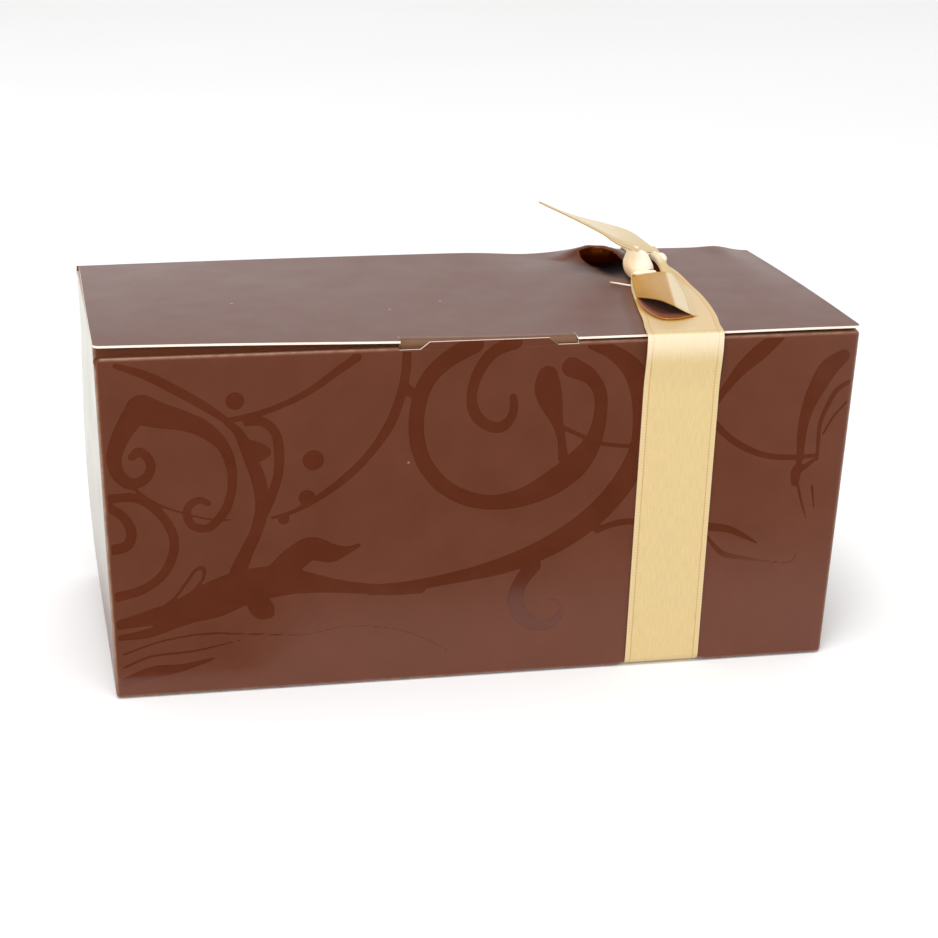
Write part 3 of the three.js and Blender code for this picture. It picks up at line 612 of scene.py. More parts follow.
@shared_effect("Worn folds", "Place", {"Fold": 0.0, "Wear": 0.5}, ("Worn",))
def worn_folds(n, given, out):
    """Where the print is rubbed thin along a fold. Fold is 1 on the crown of a fold."""
    uneven = n.ramp(n.noise(given["Place"], 420.0, 4.0, 0.7), 0.3, 0.72, 0.35, 1.0)
    crown = n.math("POWER", given["Fold"], 1.6)
    n.set(out["Worn"], n.times(crown, uneven, given["Wear"], clamp=True))


STITCH_LENGTH = 0.62  # along the ribbon's edge


@shared_effect("Satin weave", "Woven", {"Selvedge": 1.05},
               ("Height", "Selvedge", "Guide", "Stitch", "Floats", "Grain"))
def satin_weave(n, given, out):
    """Satin floats along a ribbon, its woven edges with a guide thread, and their stitches.

    Woven holds the place across, the place along and the ribbon's width, in millimetres."""
    across, along, width = n.add("SeparateXYZ", {0: given["Woven"]}).outputs
    edge = n.math("MINIMUM", across, n.minus(width, across))
    past_selvedge = n.minus(edge, given["Selvedge"])
    selvedge = n.ramp(past_selvedge, -0.10, 0.02, 1.0, 0.0)
    guide = n.ramp(n.math("ABSOLUTE", past_selvedge), 0.03, 0.17, 1.0, 0.0)
    flat = n.add("CombineXYZ", {0: across, 1: along, 2: 0.0}).outputs[0]
    ticks = n.math("SINE", n.times(along, 2 * math.pi / STITCH_LENGTH))
    stitch = n.times(n.ramp(ticks, 0.1, 0.8), n.ramp(edge, 0.12, 0.5), selvedge)
    floats = n.noise(n.stretch(flat, 4.6, 0.34, 1.0), 1.0, 3.0, 0.6)
    grain = n.noise(n.stretch(flat, 3.4, 3.0, 1.0), 1.0, 2.0, 0.7)
    raised = n.times(n.ramp(edge, 0.0, 0.35), selvedge)
    height = n.plus(n.times(floats, 0.22), n.times(grain, 0.16), n.times(raised, 0.8),
                    n.times(guide, -0.5), n.times(stitch, 0.5))
    for title, value in (("Height", height), ("Selvedge", selvedge), ("Guide", guide),
                         ("Stitch", stitch), ("Floats", floats), ("Grain", grain)):
        n.set(out[title], value)


# ------------------------------------------------------------------ materials


# Colours of rubbed print and of painted shade, as linear light.
RUBBED_PRINT = (0.34, 0.20, 0.12)
WARM_SHADE, GOLDEN_SHADE, BROWN_SHADE = (0.19, 0.062, 0.026), (0.58, 0.285, 0.035), (0.21, 0.055, 0.024)
DARKEST_SHADE, PAINTED_TAIL_SHADE = (0.09, 0.022, 0.006), (0.20, 0.056, 0.022)


def made_once(build):
    """Turn a function that builds a material into one that gives the finished one back, if there is
    one of that name."""

    def find_or_build(name, *look, **more):
        if name in bpy.data.materials:
            return bpy.data.materials[name]
        return build(name, *look, **more)
    return find_or_build


def start_material(name):
    """A new material, its nodes and its shader."""
    material = bpy.data.materials.new(name)
    material.use_nodes = True
    material.node_tree.nodes.clear()
    n = Nodes(material.node_tree)
    shader = n.add("BsdfPrincipled")
    n.set(n.add("OutputMaterial").inputs["Surface"], shader.outputs["BSDF"])
    return material, n, shader


def finish(n, shader, colour, roughness, height, strength, distance):
    """Give a shader its colour, its roughness and its fine relief, which is in metres."""
    n.set(shader.inputs["Base Color"], colour)
    n.set(shader.inputs["Roughness"], roughness)
    shader.inputs["IOR"].default_value = 1.5
    bump = n.add("Bump", {"Strength": strength, "Distance": distance, "Height": height})
    n.set(shader.inputs["Normal"], bump.outputs["Normal"])


def rgba(values, gain=1.0):
    return (values[0] * gain, values[1] * gain, values[2] * gain, 1.0)


def shifted(tint, *gains):
    """A colour with each of its channels multiplied by its own gain."""
    return rgba([value * gain for value, gain in zip(tint, gains)])


def colours():
    return bpy.context.scene.gift_box_colours


@made_once
def printed_board(name, tint, gloss, wear, edge=0.8):
    """Brown printed board with a thin matt coat, rubbed along its folds, and with painted shade where its
    shade mask is set: warm brown, then deep brown, with its sheen taken off.
    """
    material, n, shader = start_material(name)
    where = n.add("TexCoord").outputs["Object"]
    fibres = n.place(board_fibres(), {"Place": where, "Fibre size": 0.4, "Specks": 0.55})
    worn = n.place(worn_folds(), {"Place": where, "Fold": n.mask("fold"), "Wear": wear})["Worn"]
    tone = n.blend(n.ramp(fibres["Mottling"], 0.3, 0.7), rgba(tint, 0.95), rgba(tint, 1.06))
    rubbed = n.blend(worn, tone, rgba(RUBBED_PRINT))
    speck = n.blend(fibres["Speck"], rubbed, rgba(colours().raw_edge, 0.6))
    # Painted shade: warm brown, then deep brown, and metallic set to the mask, which takes off the sheen.
    shade = n.mask("shade")
    warm = n.blend(n.ramp(shade, 0.1, 0.45), speck, rgba(WARM_SHADE))
    deep = n.blend(n.ramp(shade, 0.62, 0.95), warm, shifted(tint, 0.35, 0.28, 0.12))
    rough = n.ramp(fibres["Mottling"], 0.2, 0.8, gloss - 0.03, gloss + 0.03)
    finish(n, shader, deep, n.plus(rough, n.times(worn, 0.1)), fibres["Height"], 0.25, 0.00003)
    n.set(shader.inputs["Metallic"], shade)
    shader.inputs["Specular Tint"].default_value = rgba((edge, edge, edge))
    return material


@made_once
def board_varnish(name):
    """Clear gloss varnish over the brown print."""
    material, n, shader = start_material(name)
    where = n.add("TexCoord").outputs["Object"]
    fibres = n.place(board_fibres(), {"Place": where, "Fibre size": 1.1, "Specks": 0.25})
    tint = colours().varnish
    tone = n.blend(n.ramp(fibres["Mottling"], 0.3, 0.7), rgba(tint, 0.94), rgba(tint, 1.06))
    speck = n.blend(fibres["Speck"], tone, rgba(colours().raw_edge, 0.4))
    rough = n.ramp(fibres["Mottling"], 0.2, 0.8, 0.16, 0.22)
    finish(n, shader, speck, rough, fibres["Height"], 0.12, 0.00005)
    return material


@made_once
def raw_board(name):
    """Bare cream board, as at its cut edges and inside."""
    material, n, shader = start_material(name)
    where = n.add("TexCoord").outputs["Object"]
    fibres = n.place(board_fibres(), {"Place": where, "Fibre size": 0.16, "Specks": 0.0})
    light, dark = rgba(colours().raw_edge), rgba(colours().raw_edge, 0.8)
    tone = n.blend(n.ramp(fibres["Height"], 0.35, 0.65), dark, light)
    rough = n.ramp(fibres["Mottling"], 0.2, 0.8, 0.8, 0.9)
    finish(n, shader, tone, rough, fibres["Height"], 0.5, 0.00006)
    return material


@made_once
def satin(name, tint, gloss, sheen, specular=0.5):
    """Satin ribbon, with glossy floats and a woven edge, and with a painted highlight and painted shade from
    the masks on its mesh.
    """
    material, n, shader = start_material(name)
    sizes = bpy.context.scene.gift_box_ribbon
    woven = n.add("Attribute", attribute_name="woven").outputs["Vector"]
    weave = n.place(satin_weave(), {"Woven": woven, "Selvedge": sizes.selvedge / MM})
    tone = n.blend(n.ramp(weave["Floats"], 0.3, 0.7), rgba(tint, 0.93), rgba(tint, 1.05))
    tone = n.blend(n.ramp(weave["Grain"], 0.25, 0.6, 0.22, 0.0), tone, shifted(tint, 0.8, 0.68, 0.5))
    for part, share, gains in (("Selvedge", 0.6, (1.04, 1.08, 1.25)), ("Guide", 0.62, (0.72, 0.5, 0.3)),
                               ("Stitch", 0.35, (0.85, 0.66, 0.42))):
        tone = n.blend(n.times(weave[part], share), tone, shifted(tint, *gains))
    # Painted highlight: the mask blends the satin towards the pale highlight colour; then painted shade turns
    # it golden, brown and darkest.
    tone = n.blend(n.mask("drawn"), tone, rgba(colours().ribbon_drawn))
    shade = n.mask("shade")
    for low, high, darker in ((0.0, 0.36, GOLDEN_SHADE), (0.45, 0.8, BROWN_SHADE), (0.8, 1.0, DARKEST_SHADE)):
        tone = n.blend(n.ramp(shade, low, high), tone, rgba(darker))
    rough = n.ramp(weave["Floats"], 0.25, 0.75, gloss - 0.04, gloss + 0.05)
    rough = n.plus(rough, n.times(weave["Selvedge"], 0.15))
    finish(n, shader, tone, rough, weave["Height"], 0.35, 0.00008)
    # Golden shadows and the darkest hollows lose the white sheen, and the brown ones between keep it.
    golden = n.minus(n.ramp(shade, 0.1, 0.45, 0.0, 0.7), n.ramp(shade, 0.5, 0.7, 0.0, 0.7))
    n.set(shader.inputs["Metallic"], n.plus(golden, n.ramp(shade, 0.85, 1.0), clamp=True))
    shader.inputs["Specular Tint"].default_value = rgba((0.3, 0.3, 0.3))
    shader.inputs["Sheen Weight"].default_value = sheen
    shader.inputs["Sheen Roughness"].default_value = 0.4
    shader.inputs["Specular IOR Level"].default_value = specular
    return material


def satin_pair():
    """The face and the reverse of the ribbon."""
    return [satin("satin_face", colours().ribbon, 0.34, 0.04),
            satin("satin_reverse", colours().ribbon_back, 0.66, 0.02, specular=0.25)]


# ------------------------------------------------------------------ the box


def mm_range(low, high, step):
    """Places from low to high, about a step apart."""
    return spread(low, high, max(1, round((high - low) / step)))


def folded_stations(half, fold, count):
    """Places from -half to half, close together on the rounded folds at both ends."""
    turn = [fold * (1 - math.tan(math.radians(a))) for a in (45.0, 33.75, 22.5, 11.25)]
    inner = spread(-half + fold, half - fold, count)
    return [d - half for d in turn] + inner + [half - d for d in turn][::-1]


def along_table(places, values):
    """A smooth curve through values at places."""
    places, values = np.array(places, float), np.array(values, float)
    slopes = np.gradient(values, places)

    def at(y):
        n = np.clip(np.searchsorted(places, y) - 1, 0, len(places) - 2)
        span = places[n + 1] - places[n]
        t = np.clip((y - places[n]) / span, 0, 1)
        return ((2 * t ** 3 - 3 * t * t + 1) * values[n] + (t ** 3 - 2 * t * t + t) * span * slopes[n]
                + (3 * t * t - 2 * t ** 3) * values[n + 1] + (t ** 3 - t * t) * span * slopes[n + 1])
    return at


# The ribbon's middle and width on the front part of the lid, from the front edge to the knot, for a
# ribbon of the usual width.
USUAL_WIDTH = 15.4
LID_RUN_Y = (-37.0, -34.3, -26.4, -17.0, -8.0, 0.0, 5.0, 12.5)
RIBBON_MIDDLE = along_table(LID_RUN_Y, (38.75, 39.0, 40.6, 42.05, 43.3, 44.2, 44.8, 45.2))
RIBBON_SPAN = along_table(LID_RUN_Y, (15.3, 15.3, 15.3, 15.1, 14.2, 12.6, 11.0, 8.2))


class Undoable:
    """What the operators share."""

    bl_options = {"REGISTER", "UNDO"}


def printed_at_crease(piece, box):
    """The board is printed all through the crease between the back wall and the lid."""
    for face in piece.data.polygons:
        if face.center.y > (box.hinge_y - 0.3) * MM and face.center.z > 66 * MM:
            face.material_index = 0


class GiftBoxWalls(Undoable, bpy.types.Operator):
    """Build the carton's body: leaning walls with rounded folds, a bowed left and right end, the cut
    edge of the front wall and the mitred corner"""

    bl_idname = "gift_box.walls"
    bl_label = "Carton walls"

    def execute(self, context):
        box = Box()
        printed = printed_board("printed_board", colours().board, 0.34, 0.75)
        raw = raw_board("raw_board")
        behind_fold = 3.2
        xs = folded_stations(box.length / 2, box.fold, 200)
        ys = folded_stations(box.depth / 2, box.fold, 60)
        ys = sorted(ys + [box.front_y + d for d in (1.3, 1.8, 2.4, behind_fold)])
        zs = [z + box.height / 2 for z in folded_stations(box.height / 2, box.fold, 44)]
        x, y, z, faces = lattice_box(xs, ys, zs)
        points, fold = self.shape(box, x, y, z, behind_fold)
        body = new_piece("carton_body", points, faces, [printed, raw])
        give_mask(body, "fold", fold)
        self.cut(box, body, raw, printed)
        printed_at_crease(body, box)
        crisp_edges(body, 38)
        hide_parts("carton")
        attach(body, "root")
        return {"FINISHED"}

    def shape(self, box, x, y, z, behind_fold):
        """Where the points of the lattice lie on the carton, and how far each is on a fold."""
        inner = np.array([box.length / 2, box.depth / 2, box.height / 2]) - box.fold
        p = np.stack([x, y, z - box.height / 2], axis=1)
        core = np.clip(p, -inner, inner)
        out = p - core
        away = np.maximum(np.linalg.norm(out, axis=1), 1e-9)[:, None]
        turned = (np.abs(out) > 1e-6).sum(axis=1)
        along = np.abs(out) / away
        fold = np.where(turned >= 2, 2 * np.sort(along, axis=1)[:, 1] / math.sqrt(2), 0.0)
        p = core + out / away * box.fold
        p[:, 2] += box.height / 2
        up = p[:, 2] / box.height
        bow = box.bulge * np.cos(math.pi * p[:, 1] / box.depth) * np.sin(math.pi * np.clip(up, 0, 1))
        at_end = np.sign(p[:, 0]) * np.abs(2 * p[:, 0] / box.length) ** 8
        px = p[:, 0] * mix(box.base_length, box.length, up) / box.length + bow * at_end
        py = p[:, 1] * mix(box.base_depth, box.depth, up) / box.depth
        room = box.board / 2 + box.GAP + 2.6 * mound(x, y, (34, 24), (18, 20))
        under_y = np.minimum(y, box.hinge_y)
        lid = box.lid_height(x, under_y) - box.buckle(x, under_y)
        top = mix(box.height, lid - room, smooth(box.front_y + box.fold, box.front_y + behind_fold, y))
        pz = p[:, 2] + smooth(box.height - 8, box.height, z) * (top - box.height)
        from_ribbon = np.abs(px - box.ribbon_x_below(py)) - box.ribbon_width / 2
        pz = pz + box.GROOVE * smooth(1.7, 0.5, from_ribbon) * smooth(1.2, 0.0, z)
        return np.stack([px, py, pz], axis=1), np.clip(fold, 0, 1)

    def cut(self, box, body, raw, printed):
        """Cut the front edge for the tongue, its slot, the mitred corner and the room of the lid."""
        front, half = box.front_y, box.tongue / 2 + box.GAP
        wall_inside, above, slot_foot = front + box.board, 75.0, 68.0
        edge = [(-half, box.CUT_EDGE_Z), (-half, above), (half, above), (half, box.CUT_EDGE_Z)]
        slot = [(-half, slot_foot), (-half, above), (half, above), (half, slot_foot)]
        mitre = [(-77.0, 68.4), (-77.0, above), (-73.4, above), (-73.4, 70.4), (-74.7, 68.9)]
        cut_away(body, *prism(edge, front - 1, front + 3.0), raw)
        cut_away(body, *prism(slot, wall_inside, wall_inside + box.board + 2 * box.GAP), raw)
        cut_away(body, *prism(mitre, front - 1, front + 0.9), printed)
        xs, over_lid = np.array(mm_range(-78, 78, 1.5)), 1.4
        arc = box.HINGE_RADIUS * math.pi / 2
        turns = [1.0, *spread(0, -arc, 8), box.lid_start() - box.GAP]
        near = [box.lid_point(xs, t, inside=box.board / 2 + box.GAP) for t in turns]
        far = [box.lid_point(xs, t, inside=-over_lid) for t in turns]
        cut_away(body, *slab(near, far), raw)


class GiftBoxLip(Undoable, bpy.types.Operator):
    """Build the cut lip that stands up from the front wall, in front of the tongue of the lid"""

    bl_idname = "gift_box.lip"
    bl_label = "Front lip"

    def execute(self, context):
        box = Box()
        foot, top = box.LIP_FOOT_WIDTH / 2, box.LIP_TOP_WIDTH / 2
        outline = [(-foot, 69.0), (-foot, box.CUT_EDGE_Z), (-top, box.LIP_TOP_Z),
                   (top, box.LIP_TOP_Z), (foot, box.CUT_EDGE_Z), (foot, 69.0)]
        points, faces = prism(outline, box.front_y + 0.04, box.front_y + box.board - 0.02)
        lip = new_piece("front_lip", points, faces,
                        [printed_board("printed_board", colours().board, 0.34, 0.75), raw_board("raw_board")],
                        smooth_shading=False)
        for face in lip.data.polygons:
            face.material_index = 1 if face.normal.y > -0.5 else 0
        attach(lip, "root")
        return {"FINISHED"}


class GiftBoxLid(Undoable, bpy.types.Operator):
    """Build the lid, bent over the back wall, arched and buckled beside the knot, with its tongue"""

    bl_idname = "gift_box.lid"
    bl_label = "Lid and tongue"

    # The lid's grid is finer where the lid is buckled: between two places along the box, and from the
    # hinge to this far from it.
    BUCKLE_FROM_X, BUCKLE_TO_X, BUCKLE_TRAVEL = 28.0, 44.5, 17.0
    FINE, MEDIUM, COARSE = 0.35, 0.7, 0.8

    def execute(self, context):
        box = Box()
        printed = printed_board("printed_lid", colours().lid, 0.40, 0.8, edge=0.1)
        bent = printed_board("printed_tongue", colours().tongue, 0.6, 0.5)
        arc = box.HINGE_RADIUS * math.pi / 2
        xs, travel, start, down = self.grid_lines(box, arc)
        in_tongue = np.abs(xs) <= box.tongue / 2 + 1e-6
        tongue_xs, columns = xs[in_tongue], len(xs)
        wide, base = len(tongue_xs), len(travel) * columns
        # The tongue hangs from the last row that it shares with the lid, which is open from there on.
        cut_out = in_tongue[:-1] | in_tongue[1:]
        faces = [face for n, face in enumerate(grid_faces(len(travel), columns))
                 if n // (columns - 1) < start or not cut_out[n % (columns - 1)]]
        first = start * columns + int(np.argmax(in_tongue))
        faces += [(first + c, first + c + 1, base + c + 1, base + c) for c in range(wide - 1)]
        faces += [tuple(i + base for i in face) for face in grid_faces(len(down), wide)]
        points = np.concatenate([box.lid_point(xs, t) for t in travel]
                                + [box.tongue_point(tongue_xs, t) for t in down])
        lid = new_piece("lid_board", points, [face[::-1] for face in faces],
                        [printed, raw_board("raw_board"), bent])
        for face in lid.data.polygons:
            if min(face.vertices) >= base + wide * 2:
                face.material_index = 2
        give_mask(lid, "fold", [1.0 if -arc < t < 0 else 0.0 for t in travel for _ in xs]
                  + [0.5 if t < 3.0 else 0.1 for t in down for _ in tongue_xs])
        give_mask(lid, "shade", self.shade_mask(box, points))
        self.drop_loose(lid)
        thicken(lid, box.board, inside=1, rim=1)
        printed_at_crease(lid, box)
        crisp_edges(lid, 50)
        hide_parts("lid")
        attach(lid, "root")
        return {"FINISHED"}

    def grid_lines(self, box, arc):
        """Places along the box, travels from the hinge to the front edge, the number of the travel that
        the tongue starts from, and travels down the tongue."""
        half, tongue = box.length / 2, box.tongue / 2
        full = box.hinge_y - box.front_y
        level = box.hinge_y - box.tongue_bend_y() - box.TONGUE_LEVEL
        travel = [box.lid_start(), *spread(-arc, 0, 8), *mm_range(0.6, self.BUCKLE_TRAVEL, self.FINE)[:-1],
                  *mm_range(self.BUCKLE_TRAVEL, level, self.MEDIUM)[:-1],
                  *spread(level, full - 1.3, 3), *spread(full - 1.15, full, 6)]
        start = next(n for n, t in enumerate(travel) if t >= level)
        end = [half - inward for inward in (0.95, 0.6, 0.35, 0.15, 0.0)]
        xs = [*(-x for x in end[::-1]), *mm_range(-half + 1.3, -tongue - 0.1, self.COARSE),
              *mm_range(-tongue, tongue, self.COARSE),
              *mm_range(tongue + 0.1, self.BUCKLE_FROM_X, self.COARSE)[:-1],
              *mm_range(self.BUCKLE_FROM_X, self.BUCKLE_TO_X, self.FINE)[:-1],
              *mm_range(self.BUCKLE_TO_X, half - 1.3, self.COARSE), *end]
        bend, steps = box.TONGUE_BEND * math.pi / 2, (0.35, 0.7, 1.0)
        down = [box.TONGUE_LEVEL * t for t in steps]
        down += [box.TONGUE_LEVEL + t for t in (*spread(0, bend, 10)[1:], *(bend + t for t in steps))]
        return np.array(xs), travel, start, down

    @staticmethod
    def shade_mask(box, points):
        """Painted shade: dark in the hollow, softly dark below it, and a painted shadow along the left edge
        of the ribbon.
        """
        x, y = points[:, 0], points[:, 1]
        along_ribbon = smooth(3.6, 0.0, RIBBON_MIDDLE(y) - RIBBON_SPAN(y) / 2 - x)
        along_ribbon = along_ribbon * smooth(16.0, 10.0, y) * (x < RIBBON_MIDDLE(y))
        below_hollow = mound(x, y, (36.2, 7.5), (5.0, 8.0))
        return np.max([box.buckle_shade(x, y), 0.36 * below_hollow, 0.42 * along_ribbon], axis=0)

    @staticmethod
    def drop_loose(piece):
        """Remove the points that no face uses."""
        bm = bmesh.new()
        bm.from_mesh(piece.data)
        bmesh.ops.delete(bm, geom=[v for v in bm.verts if not v.link_faces], context="VERTS")
        bm.to_mesh(piece.data)
        bm.free()


class GiftBoxVarnish(Undoable, bpy.types.Operator):
    """Lay the clear spot varnish on the front wall, as a film with scrolls"""

    bl_idname = "gift_box.varnish"
    bl_label = "Spot varnish"

    STEP = 0.36

    def execute(self, context):
        box = Box()
        xs = np.arange(-75.0, 75.0 + self.STEP, self.STEP)
        zs = np.arange(0.2, box.LIP_TOP_Z + self.STEP, self.STEP)
        away = self.distances(box, xs, zs)
        points, faces = self.outline_filled(xs, zs, away)
        flat = np.array(points)
        off = mix(-box.half_depth(flat[:, 1]) - 0.02, box.front_y - 0.01, smooth(68.8, 69.3, flat[:, 1]))
        proud = np.stack([flat[:, 0], off, flat[:, 1]], axis=1)
        film = new_piece("varnish", proud, faces, [board_varnish("gloss_varnish")])
        thicken(film, 0.03)
        crisp_edges(film, 40)
        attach(film, "root")
        return {"FINISHED"}

    def distances(self, box, xs, zs):
        """How far each point of a grid is outside the varnish, in millimetres."""
        away = np.full((len(xs), len(zs)), 9.0)
        for stroke in SCROLLS.values():
            line = smooth_curve(stroke, np.linspace(0, 1, 14 * len(stroke)))
            for a, b in zip(line[:-1], line[1:]):
                self.add_segment(away, xs, zs, a, b)
        for x, z, r in ROUND_DOTS:
            self.add_segment(away, xs, zs, np.array([x, z, r]), np.array([x + 0.01, z, r]))
        inside = np.maximum(np.abs(xs)[:, None] - box.half_length(zs)[None, :] + 0.95,
                            np.maximum(0.9 - zs, zs - 69.05)[None, :])
        lip = np.interp(zs, (box.CUT_EDGE_Z, box.LIP_TOP_Z), (box.LIP_FOOT_WIDTH, box.LIP_TOP_WIDTH)) / 2
        on_lip = np.maximum(np.abs(xs)[:, None] - lip[None, :] + 0.2,
                            (zs - box.LIP_TOP_Z + 0.12)[None, :])
        return np.maximum(away, np.minimum(inside, on_lip))

    @staticmethod
    def add_segment(away, xs, zs, a, b):
        reach = 2.0 + max(a[2], b[2])
        i = slice(*np.searchsorted(xs, (min(a[0], b[0]) - reach, max(a[0], b[0]) + reach)))
        k = slice(*np.searchsorted(zs, (min(a[1], b[1]) - reach, max(a[1], b[1]) + reach)))
        x, z = np.meshgrid(xs[i], zs[k], indexing="ij")
        dx, dz = b[0] - a[0], b[1] - a[1]
        t = np.clip(((x - a[0]) * dx + (z - a[1]) * dz) / max(dx * dx + dz * dz, 1e-9), 0, 1)
        d = np.hypot(x - a[0] - t * dx, z - a[1] - t * dz) - mix(a[2], b[2], t)
        away[i, k] = np.minimum(away[i, k], d)

    @staticmethod
    def outline_filled(xs, zs, away):
        """Faces that fill the places where away is less than 0, with a smooth outline."""
        away = np.where(np.abs(away) < 0.004, 0.004, away)
        found, points, faces = {}, [], []

        def point(key, x, z):
            if key not in found:
                found[key] = len(points)
                points.append((x, z))
            return found[key]

        inside = away < 0
        any_in = inside[:-1, :-1] | inside[1:, :-1] | inside[:-1, 1:] | inside[1:, 1:]
        for i, k in zip(*np.nonzero(any_in)):
            ring = []
            corners = ((i, k), (i + 1, k), (i + 1, k + 1), (i, k + 1))
            for n in range(4):
                p, q = corners[n], corners[(n + 1) % 4]
                if inside[p]:
                    ring.append(point(p, xs[p[0]], zs[p[1]]))
                if inside[p] != inside[q]:
                    t = away[p] / (away[p] - away[q])
                    ring.append(point((min(p, q), max(p, q)), mix(xs[p[0]], xs[q[0]], t),
                                      mix(zs[p[1]], zs[q[1]], t)))
            faces.append(ring)
        return points, faces


# ------------------------------------------------------------------ the ribbon


KNOT = np.array([44.4, 12.5, 73.0])
# The ribbon's middle at the folds of the walls.
BAND_X = {"front top": 38.75, "front foot": 37.95, "back foot": 46.0, "back top": 49.4}
# Where the lower layer of the front tail ends, seen from above.
LOWER_EDGE = [(36.2, -11.0), (35.2, -18.3), (35.7, -24.7), (37.0, -27.7), (39.2, -28.0),
              (41.4, -27.1), (43.6, -25.9)]


def bezier(points, t):
    p = np.asarray(points, float)
    if len(p) == 2:
        return mix(p[0], p[1], t)
    s = 1 - t
    return s ** 3 * p[0] + 3 * s * s * t * p[1] + 3 * s * t * t * p[2] + t ** 3 * p[3]


class Band:
    """The run of the ribbon round the box, from the knot over the front, the base and the back."""

    BENDS_AT_Y, ON_LID_BACK_Y, BEND_END_Z, MEETS_WALL_Z, STAND_OFF = -35.2, 34.4, 68.2, 59.0, 0.8

    def __init__(self, box):
        self.box = box
        off, foot = box.ribbon_off, box.ribbon_thick / 2 + 0.02

        def front(z, out=0.0):
            return (-box.half_depth(z) - off - out, z)

        def back(z):
            return (box.half_depth(z) + off, z)

        top_f = float(box.lid_top(BAND_X["front top"], self.BENDS_AT_Y)) + off
        top_b = float(box.lid_top(BAND_X["back top"], self.ON_LID_BACK_Y)) + off
        start = (self.BENDS_AT_Y, top_f)
        end = front(self.BEND_END_Z, self.STAND_OFF)
        behind = (box.depth / 2 + off + 0.25, 69.3)
        fy = box.half_depth(0) + off - 1.8
        self.runs = [
            (60, [(KNOT[1], top_f), start], lambda t: 1.0),
            (24, [start, (box.front_y - 1.2, top_f), (end[0], top_f - 0.6), end], lambda t: (1 - t) ** 2),
            (16, [end, (end[0], 65.0), front(63.0), front(self.MEETS_WALL_Z)], None),
            (50, [front(self.MEETS_WALL_Z), front(1.8)], None),
            (12, [front(1.8), (-fy - 1.8, 0.9), (-fy - 0.9, foot), (-fy, foot)], None),
            (30, [(-fy, foot), (fy, foot)], None),
            (12, [(fy, foot), (fy + 0.9, foot), (fy + 1.8, 0.9), back(1.8)], None),
            (44, [back(1.8), back(66.0)], None),
            (8, [back(66.0), back(67.0), (behind[0], 68.0), behind], None),
            (16, [behind, (behind[0], top_b - 0.2), (35.7, top_b), (self.ON_LID_BACK_Y, top_b)],
             lambda t: t),
            (30, [(self.ON_LID_BACK_Y, top_b), (KNOT[1], top_b)], lambda t: 1.0),
        ]

    def middle(self, run, y, z):
        up = z / self.box.height
        if run == 0:
            return RIBBON_MIDDLE(y)
        if run < 5:
            return mix(BAND_X["front foot"], BAND_X["front top"], up)
        if run == 5:
            return self.box.ribbon_x_below(y)
        if run < 10:
            return mix(BAND_X["back foot"], BAND_X["back top"], up)
        return mix(RIBBON_MIDDLE(KNOT[1]), BAND_X["back top"], smooth(KNOT[1], self.ON_LID_BACK_Y, y))

    def width(self, run, y, z):
        full, at_back, at_knot = self.box.ribbon_width, 7.6, 8.4
        if run == 0:
            return RIBBON_SPAN(y) / USUAL_WIDTH * full
        if run <= 6:
            return full
        if run < 10:
            return mix(full, at_back, smooth(42, self.box.height, z))
        return mix(at_back, at_knot, smooth(self.ON_LID_BACK_Y, KNOT[1], y))

    def row(self, run, t, us):
        """Points across the ribbon at a place of a run. us goes from -1 at its left edge to 1."""
        box = self.box
        y, z = bezier(self.runs[run][1], t)
        middle = self.middle(run, y, z)
        x = middle + us * self.width(run, y, z) / 2
        on_lid = self.runs[run][2]
        share = on_lid(t) if on_lid else 0.0
        lid_y = np.clip(y, self.BENDS_AT_Y, self.ON_LID_BACK_Y)
        flat = box.lid_top(middle, y) + box.ribbon_off if share == 1 else z
        follow = share * (box.lid_top(x, lid_y) - box.lid_top(middle, lid_y))
        lift = 0.0
        if run in (0, 10):
            lift = 1.2 * smooth(-4 if run == 0 else 21, KNOT[1], y) * us * us
        return np.stack([x, np.full_like(x, y), flat + follow + lift], axis=1)


def ribbon_sheet(name, rows, width, materials, selvedge=True):
    """A sheet from rows of points across the ribbon, with its woven places. Without a width, the place
    across is measured from the first edge, as on a tail with a slanted cut. Without a selvedge, the
    sheet lies inside the woven edges of a wider ribbon."""
    grid = np.stack(rows)
    count = grid.shape[1]
    middle = grid[:, count // 2]
    woven = np.empty(grid.shape)
    if width is None:
        steps = np.linalg.norm(np.diff(grid, axis=1), axis=2)
        woven[..., 0] = np.concatenate([np.zeros((len(rows), 1)), np.cumsum(steps, axis=1)], axis=1)
    else:
        woven[..., 0] = np.linspace(0, width, count)[None, :] + (0 if selvedge else 3.0)
    woven[..., 1] = path_lengths(middle)[:, None]
    woven[..., 2] = (width or USUAL_WIDTH) if selvedge else 20.0
    faces = [f[::-1] for f in grid_faces(len(rows), count)]
    return new_piece(name, grid.reshape(-1, 3), faces, materials, woven=woven.reshape(-1, 3))


def path_lengths(points):
    """How far each point of a line is from its start, along the line."""
    return np.r_[0, np.cumsum(np.linalg.norm(np.diff(points, axis=0), axis=1))]


def as_ribbon(piece):
    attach(piece, "root")


def make_ribbon(piece, thickness, crisp, **masks):
    """Give a sheet of ribbon its masks, its thickness and its edges, which are crisp above an angle."""
    for name, values in masks.items():
        give_mask(piece, name, values)
    thicken(piece, thickness, inside=1)
    crisp_edges(piece, crisp)
    as_ribbon(piece)


